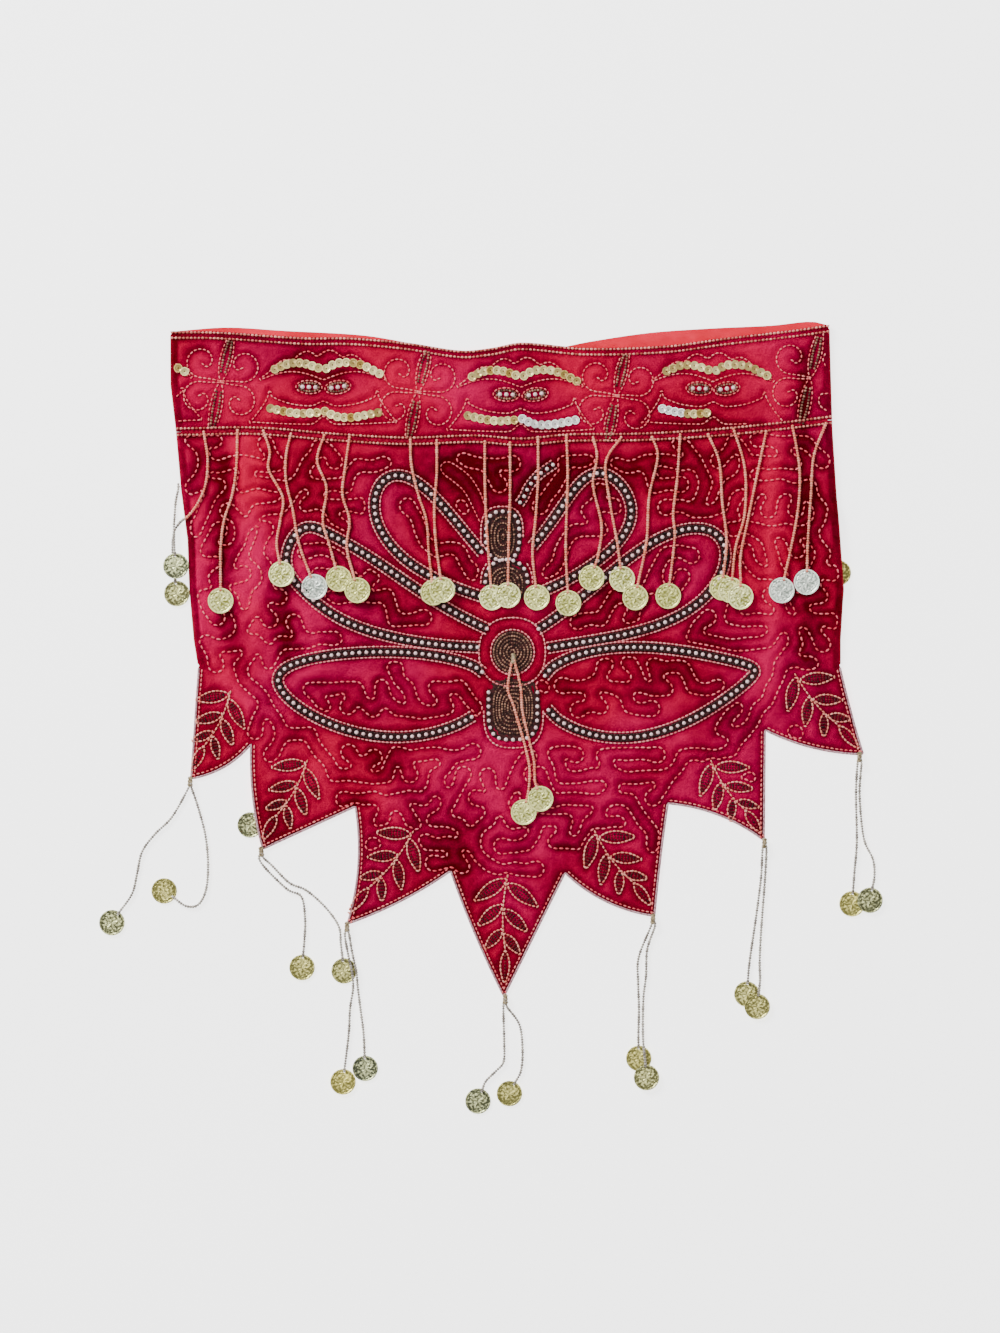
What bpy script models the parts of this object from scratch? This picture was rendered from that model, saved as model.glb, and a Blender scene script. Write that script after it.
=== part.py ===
"""Beaded belly dance hip scarf: a waistband and a skirt with stepped points, closed into one loop at
the centre back and laid flat with its front up, with a beaded butterfly, a fringe and coin tassels.

Tables are in millimetres on the plan of the laid garment: x runs to the right from the middle of the
longest point, drop runs from the top of the waistband towards the points, and z rises from the floor.
"""
import math
from bisect import bisect

import bmesh
import bpy
from mathutils import Vector
from mathutils.bvhtree import BVHTree
from mathutils.geometry import delaunay_2d_cdt

MM = 0.001

# Driving dimensions
CLOTH = 1.2             # thickness of the beaded cloth
SEAM_GAP = 0.3          # between pieces that are sewn or lie on each other
HALF_GIRTH = 224.0      # half of the loop, from side fold to side fold
FOLD_RADIUS = 2.2       # how far in from the edge a side fold is rounded
FOLD_RISE = 1.7         # the front stands this much higher at its side folds
FOLD_RISE_WIDTH = 9.0
FOLD_END = 226.4        # drop at which the side folds end and the first free points start
LAYER_LIFT = 1.7        # the front lies this much higher where the back is under it
SETTLE = 18.0           # width over which the front comes down to the floor past the back's hem
CENTRE_BACK = 0.0       # x of the join of the two ends, under the front
FRONT_MESH = 8.4        # spacing of the front's points
BACK_MESH = 17.0
ORIGIN_X = 8.92         # the plan's zero, seen from the middle of the whole garment
ORIGIN_Y = 260.43

BEAD_STRING = 1.5       # thickness of a string of small beads
COIN_RADIUS = 8.7
COIN_THICKNESS = 0.8
STRIP_THICKNESS = 1.0
WING_BAND = 5.6         # width of the beaded band that outlines a wing
WING_HEIGHT = 1.4
BODY_HEIGHT = 1.2

# drop, x of the left side fold, x of the right side fold
SIDE_FOLDS = (
    (-12.0, -226.4, 220.6),
    (34.0, -226.2, 221.9),
    (64.6, -222.6, 222.8),
    (105.4, -219.0, 225.4),
    (139.4, -214.6, 228.0),
    (173.4, -213.4, 230.4),
    (207.4, -210.4, 228.4),
    (226.4, -207.4, 228.5),
    (238.0, -214.5, 236.5),
    (266.0, -219.0, 252.0),
    (460.0, -219.0, 252.0),
)

# x, drop of the waistband's top edge on the front
WAIST_FRONT = (
    (-226.4, -2.4),
    (-194.5, -2.2),
    (-136.7, 1.6),
    (-105.4, 1.8),
    (-67.3, 5.0),
    (-29.2, 10.6),
    (-8.2, 8.8),
    (12.0, 5.2),
    (54.4, 8.8),
    (110.2, 7.2),
    (150.0, 2.0),
    (193.1, -3.0),
    (220.4, -6.8),
)

# x, drop of the waistband's top edge on the back, which shows past the front's at both sides
WAIST_BACK = (
    (-226.4, -2.4),
    (-189.0, -5.2),
    (-150.0, -3.0),
    (-95.2, 0.2),
    (-60.0, 6.0),
    (0.0, 15.0),
    (58.5, 4.4),
    (99.3, -1.6),
    (141.4, -4.6),
    (182.9, -6.6),
    (209.0, -9.2),
    (220.4, -6.8),
)

# x, drop of the seam between waistband and skirt on the front
SEAM_FRONT = (
    (-222.6, 66.0),
    (-168.0, 65.3),
    (-116.3, 69.4),
    (-67.3, 72.1),
    (-19.0, 70.7),
    (12.2, 72.8),
    (43.5, 70.0),
    (92.5, 69.4),
    (141.4, 66.6),
    (182.9, 62.6),
    (222.6, 57.8),
)

# x, drop, and the bow of the edge to the next corner: positive bows it to the left of the way there.
# The hem's corners on the front run from the notch in the left side fold to that in the right one.
FRONT_HEM = (
    (-207.4, 226.4, 0.0),
    (-212.8, 301.6, -4.4),
    (-172.0, 278.1, -2.6),
    (-163.9, 349.5, 0.0),
    (-101.0, 320.6, 4.6),
    (-106.5, 400.5, -2.8),
    (-36.3, 364.5, -1.5),
    (0.0, 449.8, 0.0),
    (41.5, 365.8, -5.4),
    (102.4, 395.2, 0.6),
    (111.5, 318.6, 5.0),
    (176.8, 343.6, 0.0),
    (177.5, 268.6, -3.9),
    (244.4, 285.2, 0.6),
    (228.5, 226.4, 0.0),
)

# The back carries on in the same steps, each point shorter than the last, and all under the front
BACK_POINTS = 3
BACK_FIRST = (56.0, 252.0)   # in from the side fold, and drop, of the first hidden point
BACK_STEP = (60.0, 48.0)
BACK_NOTCH = (6.0, 74.0)
BACK_END_DROP = 98.0

# x and drop at both ends of each main crease, its half width and its height
CREASES = (
    (-178.0, 78.0, -165.0, 153.0, 9.0, 2.2),
    (-165.0, 153.0, -172.0, 258.0, 9.0, 2.4),
    (-203.0, 112.0, -202.0, 205.0, 7.0, 1.7),
    (-139.0, 153.0, -131.0, 214.0, 8.0, 1.5),
    (183.0, 75.0, 181.6, 248.0, 8.0, 2.6),
    (204.0, 180.0, 209.0, 266.0, 7.0, 1.8),
    (-118.0, 275.0, -72.0, 328.0, 12.0, 1.4),
    (-50.0, 295.0, -16.0, 350.0, 12.0, 1.3),
    (65.0, 309.0, 92.0, 362.0, 11.0, 1.3),
    (160.0, 282.0, 168.0, 326.0, 8.0, 1.3),
    (1.0, 340.0, -2.0, 422.0, 8.0, 1.1),
    (-200.0, 34.0, -139.0, 48.0, 14.0, 1.2),
    (-98.0, 14.0, -30.0, 41.0, 12.0, 1.6),
    (38.0, 44.0, 99.0, 34.0, 14.0, 1.5),
    (133.0, 22.0, 196.0, 12.0, 12.0, 1.2),
)

# Strings that lie under the cloth and lift it: x and drop of their points, then of the coin
HIDDEN_LIFT = 2.5
HIDDEN_FLAT = 5.0
HIDDEN_FADE = 12.0
BACK_STRING = ((-151.0, 256.0), (-156.0, 284.0), (-165.0, 316.0))
BACK_COIN = (-172.7, 333.2)
TUCKED_STRING = ((223.0, 128.0), (226.0, 151.0))
TUCKED_COIN = (227.4, 161.8)

# side, x and drop of the middle of the root, length, heading in degrees up from level, half width at
# the root and at the tip, swell, place of the swell (1 is halfway) and bow of the middle line
WINGS = {
    "wing_lower_left": (-1, -15.5, 242.0, 138.3, 3.2, 12.8, 19.2, 13.6, 0.72, -6.0),
    "wing_outer_left": (-1, -14.8, 206.1, 145.5, 26.7, 7.1, 37.5, -6.2, 4.5, -9.1),
    "wing_inner_left": (-1, -9.0, 169.8, 101.4, 43.5, 10.7, 23.2, 4.6, 1.06, -6.0),
    "wing_inner_right": (1, 9.5, 169.8, 97.4, 45.5, 11.4, 30.5, -0.5, 2.7, -6.6),
    "wing_outer_right": (1, 27.0, 206.3, 138.0, 28.5, 7.3, 27.4, 6.9, 1.33, -4.8),
    "wing_lower_right": (1, 29.0, 243.4, 142.2, 6.1, 11.7, 10.7, 19.5, 0.71, -5.8),
}
WING_CLEAR = 1.6        # between a wing's band and the body

# middle x and drop, half width, half height and squareness of each patch of the butterfly's body
BODY = {
    "butterfly_head": (2.6, 151.0, 12.0, 30.5, 3.0),
    "butterfly_thorax": (6.4, 214.2, 14.0, 14.0, 2.0),
    "butterfly_abdomen": (6.5, 258.6, 18.4, 20.2, 3.0),
}

# Front fringe: the points of each string as x and drop, then the place of its coin's middle
FRONT_FRINGE = (
    (((-204.0, 66.0), (-201.3, 83.6), (-202.6, 101.3), (-208.1, 114.9), (-214.5, 123.4), (-220.4, 127.6),
      (-224.6, 135.0), (-225.4, 150.0)), (-222.6, 175.8)),
    (((-181.0, 65.0), (-181.6, 88.4), (-184.6, 108.8), (-190.1, 125.8), (-192.4, 144.8)), (-192.4, 180.7)),
    (((-163.5, 65.3), (-159.1, 79.2), (-159.8, 91.8), (-150.3, 110.4), (-151.9, 126.1), (-154.4, 141.4)),
     (-151.1, 162.7)),
    (((-144.8, 67.3), (-148.0, 82.3), (-148.0, 99.3), (-143.3, 119.7), (-139.4, 141.4)), (-128.7, 171.4)),
    (((-122.2, 68.3), (-126.9, 85.5), (-120.6, 104.0), (-123.1, 126.1), (-119.0, 141.4)), (-112.2, 165.9)),
    (((-105.0, 69.8), (-108.1, 91.8), (-109.7, 108.8), (-105.0, 125.8), (-106.8, 144.8)), (-99.5, 173.7)),
    (((-63.6, 71.4), (-62.9, 88.4), (-58.2, 108.8), (-52.7, 126.1), (-51.1, 147.9)), (-48.0, 175.2)),
    (((-45.7, 71.7), (-45.7, 94.9), (-47.3, 116.7), (-46.4, 140.1)), (-42.0, 173.4)),
    (((-13.0, 72.6), (-13.0, 98.3), (-12.0, 127.0), (-10.2, 153.7)), (-8.2, 178.5)),
    (((4.1, 73.4), (4.1, 109.8), (3.2, 138.4)), (2.6, 177.0)),
    (((23.1, 69.7), (23.1, 98.3), (21.4, 125.1), (19.4, 148.0)), (22.3, 178.5)),
    (((42.4, 68.7), (43.3, 94.5), (42.4, 125.1), (42.0, 148.0)), (43.7, 182.3)),
    (((60.5, 69.7), (63.2, 83.0), (60.5, 102.1), (66.2, 128.9), (64.3, 148.0)), (59.5, 165.1)),
    (((79.6, 69.7), (69.1, 86.9), (71.9, 113.6), (76.7, 140.3)), (80.2, 166.0)),
    (((100.6, 69.7), (104.4, 83.0), (98.6, 109.8), (96.8, 140.3)), (89.1, 178.5)),
    (((119.7, 67.8), (117.6, 98.3), (114.9, 121.2), (115.9, 138.4)), (111.5, 177.5)),
    (((138.7, 67.8), (146.3, 86.9), (148.2, 113.6), (151.1, 138.4)), (148.2, 171.8)),
    (((156.0, 64.0), (163.5, 90.7), (163.5, 121.2), (157.4, 144.0)), (154.0, 173.6)),
    (((178.0, 65.9), (172.0, 94.5), (165.4, 127.0), (160.8, 150.0)), (160.5, 178.0)),
    (((196.0, 62.1), (200.7, 90.7), (199.8, 117.4), (195.0, 144.2)), (188.4, 173.7)),
    (((218.5, 60.2), (210.3, 83.0), (208.4, 109.8), (206.4, 138.4)), (205.5, 168.0)),
)

# Tassels: the head's drop, then for each string its points and the place of its coin's middle
TASSELS = {
    "hem_tassel_1": (303.6, (
        (((-214.6, 308.0), (-225.8, 327.8), (-237.6, 339.7), (-246.2, 351.6), (-249.6, 366.5),
          (-253.0, 380.1)), (-266.7, 399.7)),
        (((-212.0, 309.0), (-207.1, 324.4), (-202.9, 341.4), (-201.3, 360.0), (-202.6, 377.0),
          (-207.9, 387.4), (-216.2, 388.4)), (-231.2, 378.1)),
    )),
    "hem_tassel_2": (351.3, (
        (((-166.6, 356.0), (-161.6, 363.4), (-147.4, 377.0), (-137.8, 382.0), (-135.3, 397.1),
          (-135.8, 412.0)), (-137.4, 430.2)),
        (((-163.4, 355.6), (-158.0, 360.6), (-146.0, 372.6), (-134.6, 377.6), (-121.5, 389.2),
          (-112.4, 402.2), (-111.0, 414.0)), (-108.8, 432.5)),
    )),
    "hem_tassel_3": (402.3, (
        (((-108.2, 408.0), (-106.4, 419.2), (-103.4, 432.5), (-102.6, 444.0), (-104.7, 458.1),
          (-105.6, 475.0)), (-109.5, 508.0)),
        (((-105.2, 408.0), (-103.4, 419.2), (-100.4, 432.5), (-99.4, 444.0), (-97.2, 461.5),
          (-95.5, 475.0)), (-94.4, 498.8)),
    )),
    "hem_tassel_4": (451.6, (
        (((-0.4, 456.6), (0.1, 479.4), (-0.2, 494.0), (-5.1, 500.3), (-12.4, 507.6)), (-17.7, 521.1)),
        (((2.2, 457.0), (10.5, 469.1), (12.6, 485.8), (11.6, 500.3)), (3.7, 515.9)),
    )),
    "hem_tassel_5": (397.0, (
        (((100.0, 402.0), (91.6, 423.3), (91.2, 440.0), (91.8, 458.0), (91.4, 476.0)), (91.7, 492.0)),
        (((102.6, 402.0), (97.4, 418.0), (96.6, 436.0), (94.8, 452.0), (94.6, 478.0)), (96.9, 504.9)),
    )),
    "hem_tassel_6": (345.4, (
        (((175.8, 350.6), (174.8, 369.2), (171.4, 396.2), (168.3, 417.1), (166.6, 430.0)), (165.2, 448.3)),
        (((178.4, 350.6), (177.6, 369.2), (174.8, 406.6), (173.9, 427.6), (174.2, 438.0)), (172.2, 456.6)),
    )),
    "hem_tassel_7": (286.9, (
        (((240.4, 292.4), (239.4, 312.9), (240.0, 344.1), (238.4, 365.0)), (236.8, 386.9)),
        (((243.0, 292.4), (241.9, 312.9), (244.7, 342.0), (251.0, 356.7), (252.0, 368.0)), (248.9, 384.4)),
    )),
    "centre_tassel": (220.0, (
        (((4.8, 225.0), (2.6, 240.6), (6.2, 251.3), (10.6, 266.3), (14.2, 279.0), (17.4, 295.0),
          (16.6, 310.0)), (13.4, 324.4)),
        (((8.0, 225.0), (11.4, 240.0), (12.6, 256.0), (17.0, 275.0), (20.4, 290.0), (21.0, 303.0)),
         (24.8, 315.2)),
    )),
    "side_tassel_left": (101.4, (
        (((-221.6, 105.0), (-223.4, 114.0), (-224.2, 128.0), (-224.2, 142.0)), (-223.0, 157.1)),
    )),
}

FLOOR = 0.3             # strings and coins lie this high, just clear of the floor
STATION = 8.5           # spacing of the sections along a string
COIN_STATIONS = (0.04, 0.16, 0.36, 0.60, 0.80, 0.94)   # parts of a coin's width, from its hole


def read(table, at, column=1):
    """A column's value where the table's first column reads at, on a smooth curve through its rows."""
    keys = [row[0] for row in table]
    at = min(max(at, keys[0]), keys[-1])
    row = min(max(bisect(keys, at) - 1, 0), len(keys) - 2)

    def slope(place):
        low, high = max(place - 1, 0), min(place + 1, len(keys) - 1)
        return (table[high][column] - table[low][column]) / (keys[high] - keys[low])

    step = keys[row + 1] - keys[row]
    t = (at - keys[row]) / step
    near, far = table[row][column], table[row + 1][column]
    return (near * (1 + 2 * t) * (1 - t) ** 2 + far * t * t * (3 - 2 * t)
            + step * t * (1 - t) * (slope(row) * (1 - t) - slope(row + 1) * t))


def read_straight(table, at, column=1):
    """As read, with straight lines between the rows."""
    keys = [row[0] for row in table]
    at = min(max(at, keys[0]), keys[-1])
    row = min(max(bisect(keys, at) - 1, 0), len(keys) - 2)
    t = (at - keys[row]) / (keys[row + 1] - keys[row])
    return table[row][column] * (1 - t) + table[row + 1][column] * t


def smooth(t):
    """0 up to t = 0, 1 from t = 1, and an even curve between."""
    t = min(max(t, 0.0), 1.0)
    return t * t * (3 - 2 * t)


def side_folds(drop):
    """x of the left and right side fold."""
    return read_straight(SIDE_FOLDS, drop, 1), read_straight(SIDE_FOLDS, drop, 2)


def distance_to(x, drop, line):
    """How far a place on the plan is from a line through points."""
    place = Vector((x, drop))
    nearest = math.inf
    for start, end in zip(line, line[1:]):
        a, b = Vector(start), Vector(end)
        along = min(max((place - a).dot(b - a) / (b - a).length_squared, 0.0), 1.0)
        nearest = min(nearest, (place - a.lerp(b, along)).length)
    return nearest


def hidden_lift(x, drop, line, coin):
    """How far a string and its coin, lying underneath, lift the cloth."""
    clear = min(distance_to(x, drop, line + (coin,)) - HIDDEN_FLAT,
                math.dist((x, drop), coin) - COIN_RADIUS - 1.0)
    return HIDDEN_LIFT * (1 - smooth(clear / HIDDEN_FADE))


def crease_height(x, drop):
    """The soft ridges of the front, added up."""
    total = 0.0
    for x0, drop0, x1, drop1, width, height in CREASES:
        away = distance_to(x, drop, ((x0, drop0), (x1, drop1)))
        total += height * math.exp(-(away / width) ** 2)
    return total


def back_height(x, drop):
    """z of the middle of the back's cloth."""
    return CLOTH / 2 + hidden_lift(x, drop, TUCKED_STRING, TUCKED_COIN)


def front_height(x, drop):
    """z of the middle of the front's cloth."""
    left, right = side_folds(drop)
    inwards = min(x - left, right - x)
    slope = BACK_STEP[1] / BACK_STEP[0]
    back_reach = min(BACK_FIRST[1] - slope * (inwards - BACK_FIRST[0]), BACK_FIRST[1])
    layer = LAYER_LIFT * (1 - smooth((drop - back_reach) / SETTLE))
    rise = FOLD_RISE * math.exp(-(inwards / FOLD_RISE_WIDTH) ** 2)
    rise *= 1 - smooth((drop - FOLD_END + SETTLE) / SETTLE)
    under = hidden_lift(x, drop, BACK_STRING, BACK_COIN)
    tucked = hidden_lift(x, drop, TUCKED_STRING, TUCKED_COIN)
    return CLOTH / 2 + max(layer, under) + tucked + rise + crease_height(x, drop)


def girth_of(x, drop, back=False):
    """How far round the loop a place is: 0 at the centre front, past HALF_GIRTH on the back."""
    left, right = side_folds(drop)
    if not back:
        return ((x - left) / (right - left) * 2 - 1) * HALF_GIRTH
    side, fold = (-1, left) if x < CENTRE_BACK else (1, right)
    return side * (HALF_GIRTH + abs(x - fold) / abs(CENTRE_BACK - fold) * HALF_GIRTH)


def cloth_point(girth, drop, out):
    """The place in space of a point of the cloth, out of the middle of its wall by out."""
    left, right = side_folds(drop)
    side, fold = (-1, left) if girth < 0 else (1, right)
    past = abs(girth) - HALF_GIRTH
    width = (right - left) / 2 if past < 0 else abs(CENTRE_BACK - fold)
    inwards = abs(past) / HALF_GIRTH * width
    if inwards >= FOLD_RADIUS:
        x = fold - side * inwards
        if past < 0:
            return Vector((x, drop, front_height(x, drop) + out))
        return Vector((x, drop, back_height(x, drop) - out))
    turn = math.copysign(math.pi / 2 * inwards / FOLD_RADIUS, -past)
    x = fold - side * FOLD_RADIUS * (1 - math.cos(turn))
    top, bottom = front_height(x, drop), back_height(x, drop)
    half = (top - bottom) / 2
    normal = Vector((side * math.cos(turn) * half, 0, math.sin(turn) * FOLD_RADIUS)).normalized()
    return Vector((x, drop, (top + bottom) / 2 + half * math.sin(turn))) + normal * out


def in_metres(point):
    """A place on the plan, in the row frame: its middle at the origin, in metres."""
    return Vector(((point[0] + ORIGIN_X) * MM, (ORIGIN_Y - point[1]) * MM, point[2] * MM))


def bowed(start, end, bow, spacing):
    """Points from start up to but not with end, on an arc that bows to the left of the way there."""
    a, b = Vector(start), Vector(end)
    way = b - a
    left = Vector((way.y, -way.x)).normalized()
    count = max(1, round(way.length / spacing))
    steps = [step / count for step in range(count)]
    return [a + way * t + left * bow * 4 * t * (1 - t) for t in steps]


def level_edge(front_drop, back_drop):
    """A level edge all round the loop, from the left end at the centre back, as girth and drop."""
    ends = 2 * HALF_GIRTH - SEAM_GAP / 2
    points = []
    for girth in [-ends, *girth_columns(), ends]:
        drop = 0.0
        for _ in range(3):
            x = cloth_point(girth, drop, 0).x
            drop = front_drop(x) if abs(girth) <= HALF_GIRTH else back_drop(x)
        points.append((girth, drop))
    return points


def seam_front(x):
    return read(SEAM_FRONT, x)


def seam_back(x):
    """The seam runs straight across the back."""
    left, right = SEAM_FRONT[0], SEAM_FRONT[-1]
    return left[1] + (right[1] - left[1]) * (x - left[0]) / (right[0] - left[0])


def back_hem(side):
    """Corners of the hidden hem on one side, from the side fold to the centre back, as x and drop."""
    fold = side_folds(FOLD_END)[0 if side < 0 else 1]
    corners = []
    for number in range(BACK_POINTS):
        tip_x = fold - side * (BACK_FIRST[0] + BACK_STEP[0] * number)
        tip_drop = BACK_FIRST[1] - BACK_STEP[1] * number
        corners.append((tip_x, tip_drop))
        corners.append((tip_x - side * BACK_NOTCH[0], tip_drop - BACK_NOTCH[1]))
    corners.append((CENTRE_BACK + side * 0.001, BACK_END_DROP))
    return corners


def skirt_outline():
    """The skirt's flat cut, as girth and drop: its seam, then its hem back from right to left."""
    top = level_edge(lambda x: seam_front(x) + SEAM_GAP / 2, lambda x: seam_back(x) + SEAM_GAP / 2)
    hem = []
    for start, end in zip(FRONT_HEM, FRONT_HEM[1:]):
        hem += [(girth_of(*p), p.y) for p in bowed(start[:2], end[:2], start[2], FRONT_MESH)]
    hem.append((HALF_GIRTH, FRONT_HEM[-1][1]))
    hem[0] = (-HALF_GIRTH, FRONT_HEM[0][1])
    ends = 2 * HALF_GIRTH - SEAM_GAP / 2
    hidden = {}
    for side in (-1, 1):
        corners = [(side * HALF_GIRTH, FOLD_END)]
        corners += [(girth_of(x, drop, back=True), drop) for x, drop in back_hem(side)]
        corners[-1] = (side * ends, BACK_END_DROP)
        hidden[side] = []
        for start, end in zip(corners, corners[1:]):
            hidden[side] += [tuple(p) for p in bowed(start, end, 0.0, BACK_MESH)][1 if start[1] == FOLD_END
                                                                                 else 0:]
        hidden[side].append(corners[-1])
    return top + hidden[1][::-1] + hem[::-1] + hidden[-1]


def band_outline():
    """The waistband's flat cut: its top edge, then the seam back from right to left."""
    top = level_edge(lambda x: read(WAIST_FRONT, x), lambda x: read(WAIST_BACK, x))
    seam = level_edge(lambda x: seam_front(x) - SEAM_GAP / 2, lambda x: seam_back(x) - SEAM_GAP / 2)
    return top + seam[::-1]


def girth_columns():
    """The girths at which the cloth has a column of points: close at the folds, wide on the back."""
    columns = []
    steps = round(HALF_GIRTH / FRONT_MESH)
    for side in (-1, 1):
        columns += [side * HALF_GIRTH * step / steps for step in range(steps)]
        columns += [side * (HALF_GIRTH + part * FOLD_RADIUS) for part in (-1.0, -0.5, 0.0, 0.5, 1.0)]
        back_steps = round(HALF_GIRTH / BACK_MESH)
        columns += [side * HALF_GIRTH * (1 + (step + 0.5) / back_steps) for step in range(back_steps)]
    return sorted(set(columns))


def inside(point, outline):
    """Whether a point of the flat cut lies within its outline."""
    found = False
    for (x0, y0), (x1, y1) in zip(outline, outline[1:] + outline[:1]):
        if (y0 > point[1]) != (y1 > point[1]) and point[0] < (x1 - x0) * (point[1] - y0) / (y1 - y0) + x0:
            found = not found
    return found


def grid_inside(outline, columns, spacing, clear):
    """Points in columns within an outline, none nearer to it than clear."""
    closed = outline + outline[:1]
    lowest, highest = min(p[1] for p in outline), max(p[1] for p in outline)
    rows = [lowest + spacing * (0.5 + step) for step in range(int((highest - lowest) / spacing))]
    points = []
    for column in columns:
        near = [edge for edge in zip(closed, closed[1:])
                if min(edge[0][0], edge[1][0]) - clear < column < max(edge[0][0], edge[1][0]) + clear]
        for row in rows:
            if not inside((column, row), outline):
                continue
            if all(distance_to(column, row, edge) > clear for edge in near):
                points.append((column, row))
    return points


def material(name, colour, roughness, metallic=0.0):
    """A plain finish."""
    made = bpy.data.materials.new(name)
    made.use_nodes = True
    shader = made.node_tree.nodes["Principled BSDF"]
    shader.inputs["Base Color"].default_value = (*colour, 1.0)
    shader.inputs["Roughness"].default_value = roughness
    shader.inputs["Metallic"].default_value = metallic
    return made


class Piece:
    """The points and faces of one sub-part, and what has been laid so far for the next to lie on."""

    laid = []

    def __init__(self, name, finish):
        self.name, self.finish = name, finish
        self.points, self.faces = [], []

    def add(self, points):
        """Adds points of the plan and gives their numbers."""
        first = len(self.points)
        self.points += [in_metres(p) for p in points]
        return list(range(first, first + len(points)))

    def lay(self):
        """Lets what follows lie on the faces made so far."""
        Piece.laid.append(BVHTree.FromPolygons(self.points, self.faces))

    def finish_object(self):
        mesh = bpy.data.meshes.new(self.name)
        mesh.from_pydata(self.points, [], self.faces)
        built = bmesh.new()
        built.from_mesh(mesh)
        bmesh.ops.recalc_face_normals(built, faces=built.faces)
        if built.calc_volume(signed=True) < 0:
            bmesh.ops.reverse_faces(built, faces=built.faces)
        built.to_mesh(mesh)
        built.free()
        mesh.materials.append(self.finish)
        obj = bpy.data.objects.new(self.name, mesh)
        bpy.context.scene.collection.objects.link(obj)
        return obj


def top_at(x, drop):
    """z of the highest thing laid so far at a place on the plan, or 0 for the floor."""
    above = in_metres((x, drop, 60.0))
    heights = [0.0]
    for tree in Piece.laid:
        hit = tree.ray_cast(above, Vector((0, 0, -1)))[0]
        if hit is not None:
            heights.append(hit.z / MM)
    return max(heights)


def resting(x, drop, reach):
    """z at which a patch of beads lies clear of what is under it."""
    ring = [(0.0, 0.0)]
    for part in (0.5, 1.0):
        ring += [(reach * part * math.cos(math.tau * step / 8), reach * part * math.sin(math.tau * step / 8))
                 for step in range(8)]
    return max(max(top_at(x + dx, drop + ddrop) for dx, ddrop in ring) + SEAM_GAP, FLOOR)


def lay_along(places, half_widths):
    """For each place of a bar, z at which the bar lies clear of what is under it and its neighbours."""
    tops = []
    for number, (near, far) in enumerate(zip(places, places[1:])):
        across = (far - near).orthogonal().normalized()
        highest = 0.0
        for step in range(7):
            middle = near.lerp(far, step / 6)
            half = half_widths[number] + (half_widths[number + 1] - half_widths[number]) * step / 6
            for side in (-1.0, -0.5, 0.0, 0.5, 1.0):
                spot = middle + across * side * (half + 0.2)
                highest = max(highest, top_at(spot.x, spot.y))
        tops.append(highest)
    tops = [tops[0], *tops, tops[-1]]
    return [max(before, after) + SEAM_GAP for before, after in zip(tops, tops[1:])]


def wall(piece, outline, inner_points, outer, inner):
    """A closed wall over a flat cut: outer and inner give the place of each point on its two faces."""
    flat = [Vector((p[0], -p[1])) for p in outline + inner_points]
    loop = list(range(len(outline)))
    flat, _, triangles, *_ = delaunay_2d_cdt(flat, [], [loop[::-1]], 1, 1e-5)
    outside = piece.add([outer(p.x, -p.y) for p in flat])
    lining = piece.add([inner(p.x, -p.y) for p in flat])
    edges = {}
    for triangle in triangles:
        piece.faces.append([outside[corner] for corner in triangle])
        piece.faces.append([lining[corner] for corner in reversed(triangle)])
        for start, end in zip(triangle, triangle[1:] + triangle[:1]):
            edges[start, end] = (end, start)
    for start, end in edges:
        if (end, start) not in edges:
            piece.faces.append([outside[end], outside[start], lining[start], lining[end]])


def cloth_piece(name, outline, finish):
    """A piece of the loop's cloth: its flat cut, folded at both sides."""
    piece = Piece(name, finish)
    front = [c for c in girth_columns() if abs(c) < HALF_GIRTH + FOLD_RADIUS + 1]
    back = [c for c in girth_columns() if abs(c) >= HALF_GIRTH + FOLD_RADIUS + 1]
    points = grid_inside(outline, front, FRONT_MESH, 0.9)
    points = [p for p in points if HALF_GIRTH - abs(p[0]) < FRONT_MESH
              or all(math.dist(p, edge) > FRONT_MESH * 0.55 for edge in outline)]
    points += grid_inside(outline, back, BACK_MESH, 4.0)
    wall(piece, outline, points,
         lambda girth, drop: cloth_point(girth, drop, CLOTH / 2),
         lambda girth, drop: cloth_point(girth, drop, -CLOTH / 2))
    piece.lay()
    return piece.finish_object()


def sections(piece, rings, start=None):
    """Joins rings of four points into a closed bar, or carries on from four points that are there."""
    numbers = [start] if start else []
    numbers += [piece.add(ring) for ring in rings]
    for near, far in zip(numbers, numbers[1:]):
        for side in range(4):
            after = (side + 1) % 4
            piece.faces.append([near[side], near[after], far[after], far[side]])
    if not start:
        piece.faces.append(numbers[0][::-1])
    piece.faces.append(numbers[-1])


def ring_at(place, way, half_width, low, high):
    """Four corners across the way: low left, low right, high right, high left."""
    across = Vector((-way.y, way.x)).normalized() * half_width
    left, right = place + across, place - across
    return [(left.x, left.y, low), (right.x, right.y, low), (right.x, right.y, high), (left.x, left.y, high)]


def curve_through(points, spacing):
    """Places along a smooth curve through points of the plan, evenly spaced."""
    rows = [Vector(p) for p in points]
    padded = [rows[0] * 2 - rows[1]] + rows + [rows[-1] * 2 - rows[-2]]
    fine = []
    for a, b, c, d in zip(padded, padded[1:], padded[2:], padded[3:]):
        for step in range(12):
            t = step / 12
            fine.append(0.5 * (2 * b + (c - a) * t + (2 * a - 5 * b + 4 * c - d) * t * t
                               + (3 * b - a - 3 * c + d) * t ** 3))
    fine.append(rows[-1])
    lengths = [0.0]
    for a, b in zip(fine, fine[1:]):
        lengths.append(lengths[-1] + (b - a).length)
    count = max(2, round(lengths[-1] / spacing))
    places = []
    for step in range(count + 1):
        at = lengths[-1] * step / count
        row = min(bisect(lengths, at) - 1, len(fine) - 2)
        part = (at - lengths[row]) / (lengths[row + 1] - lengths[row])
        places.append(fine[row].lerp(fine[row + 1], part))
    return places


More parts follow.
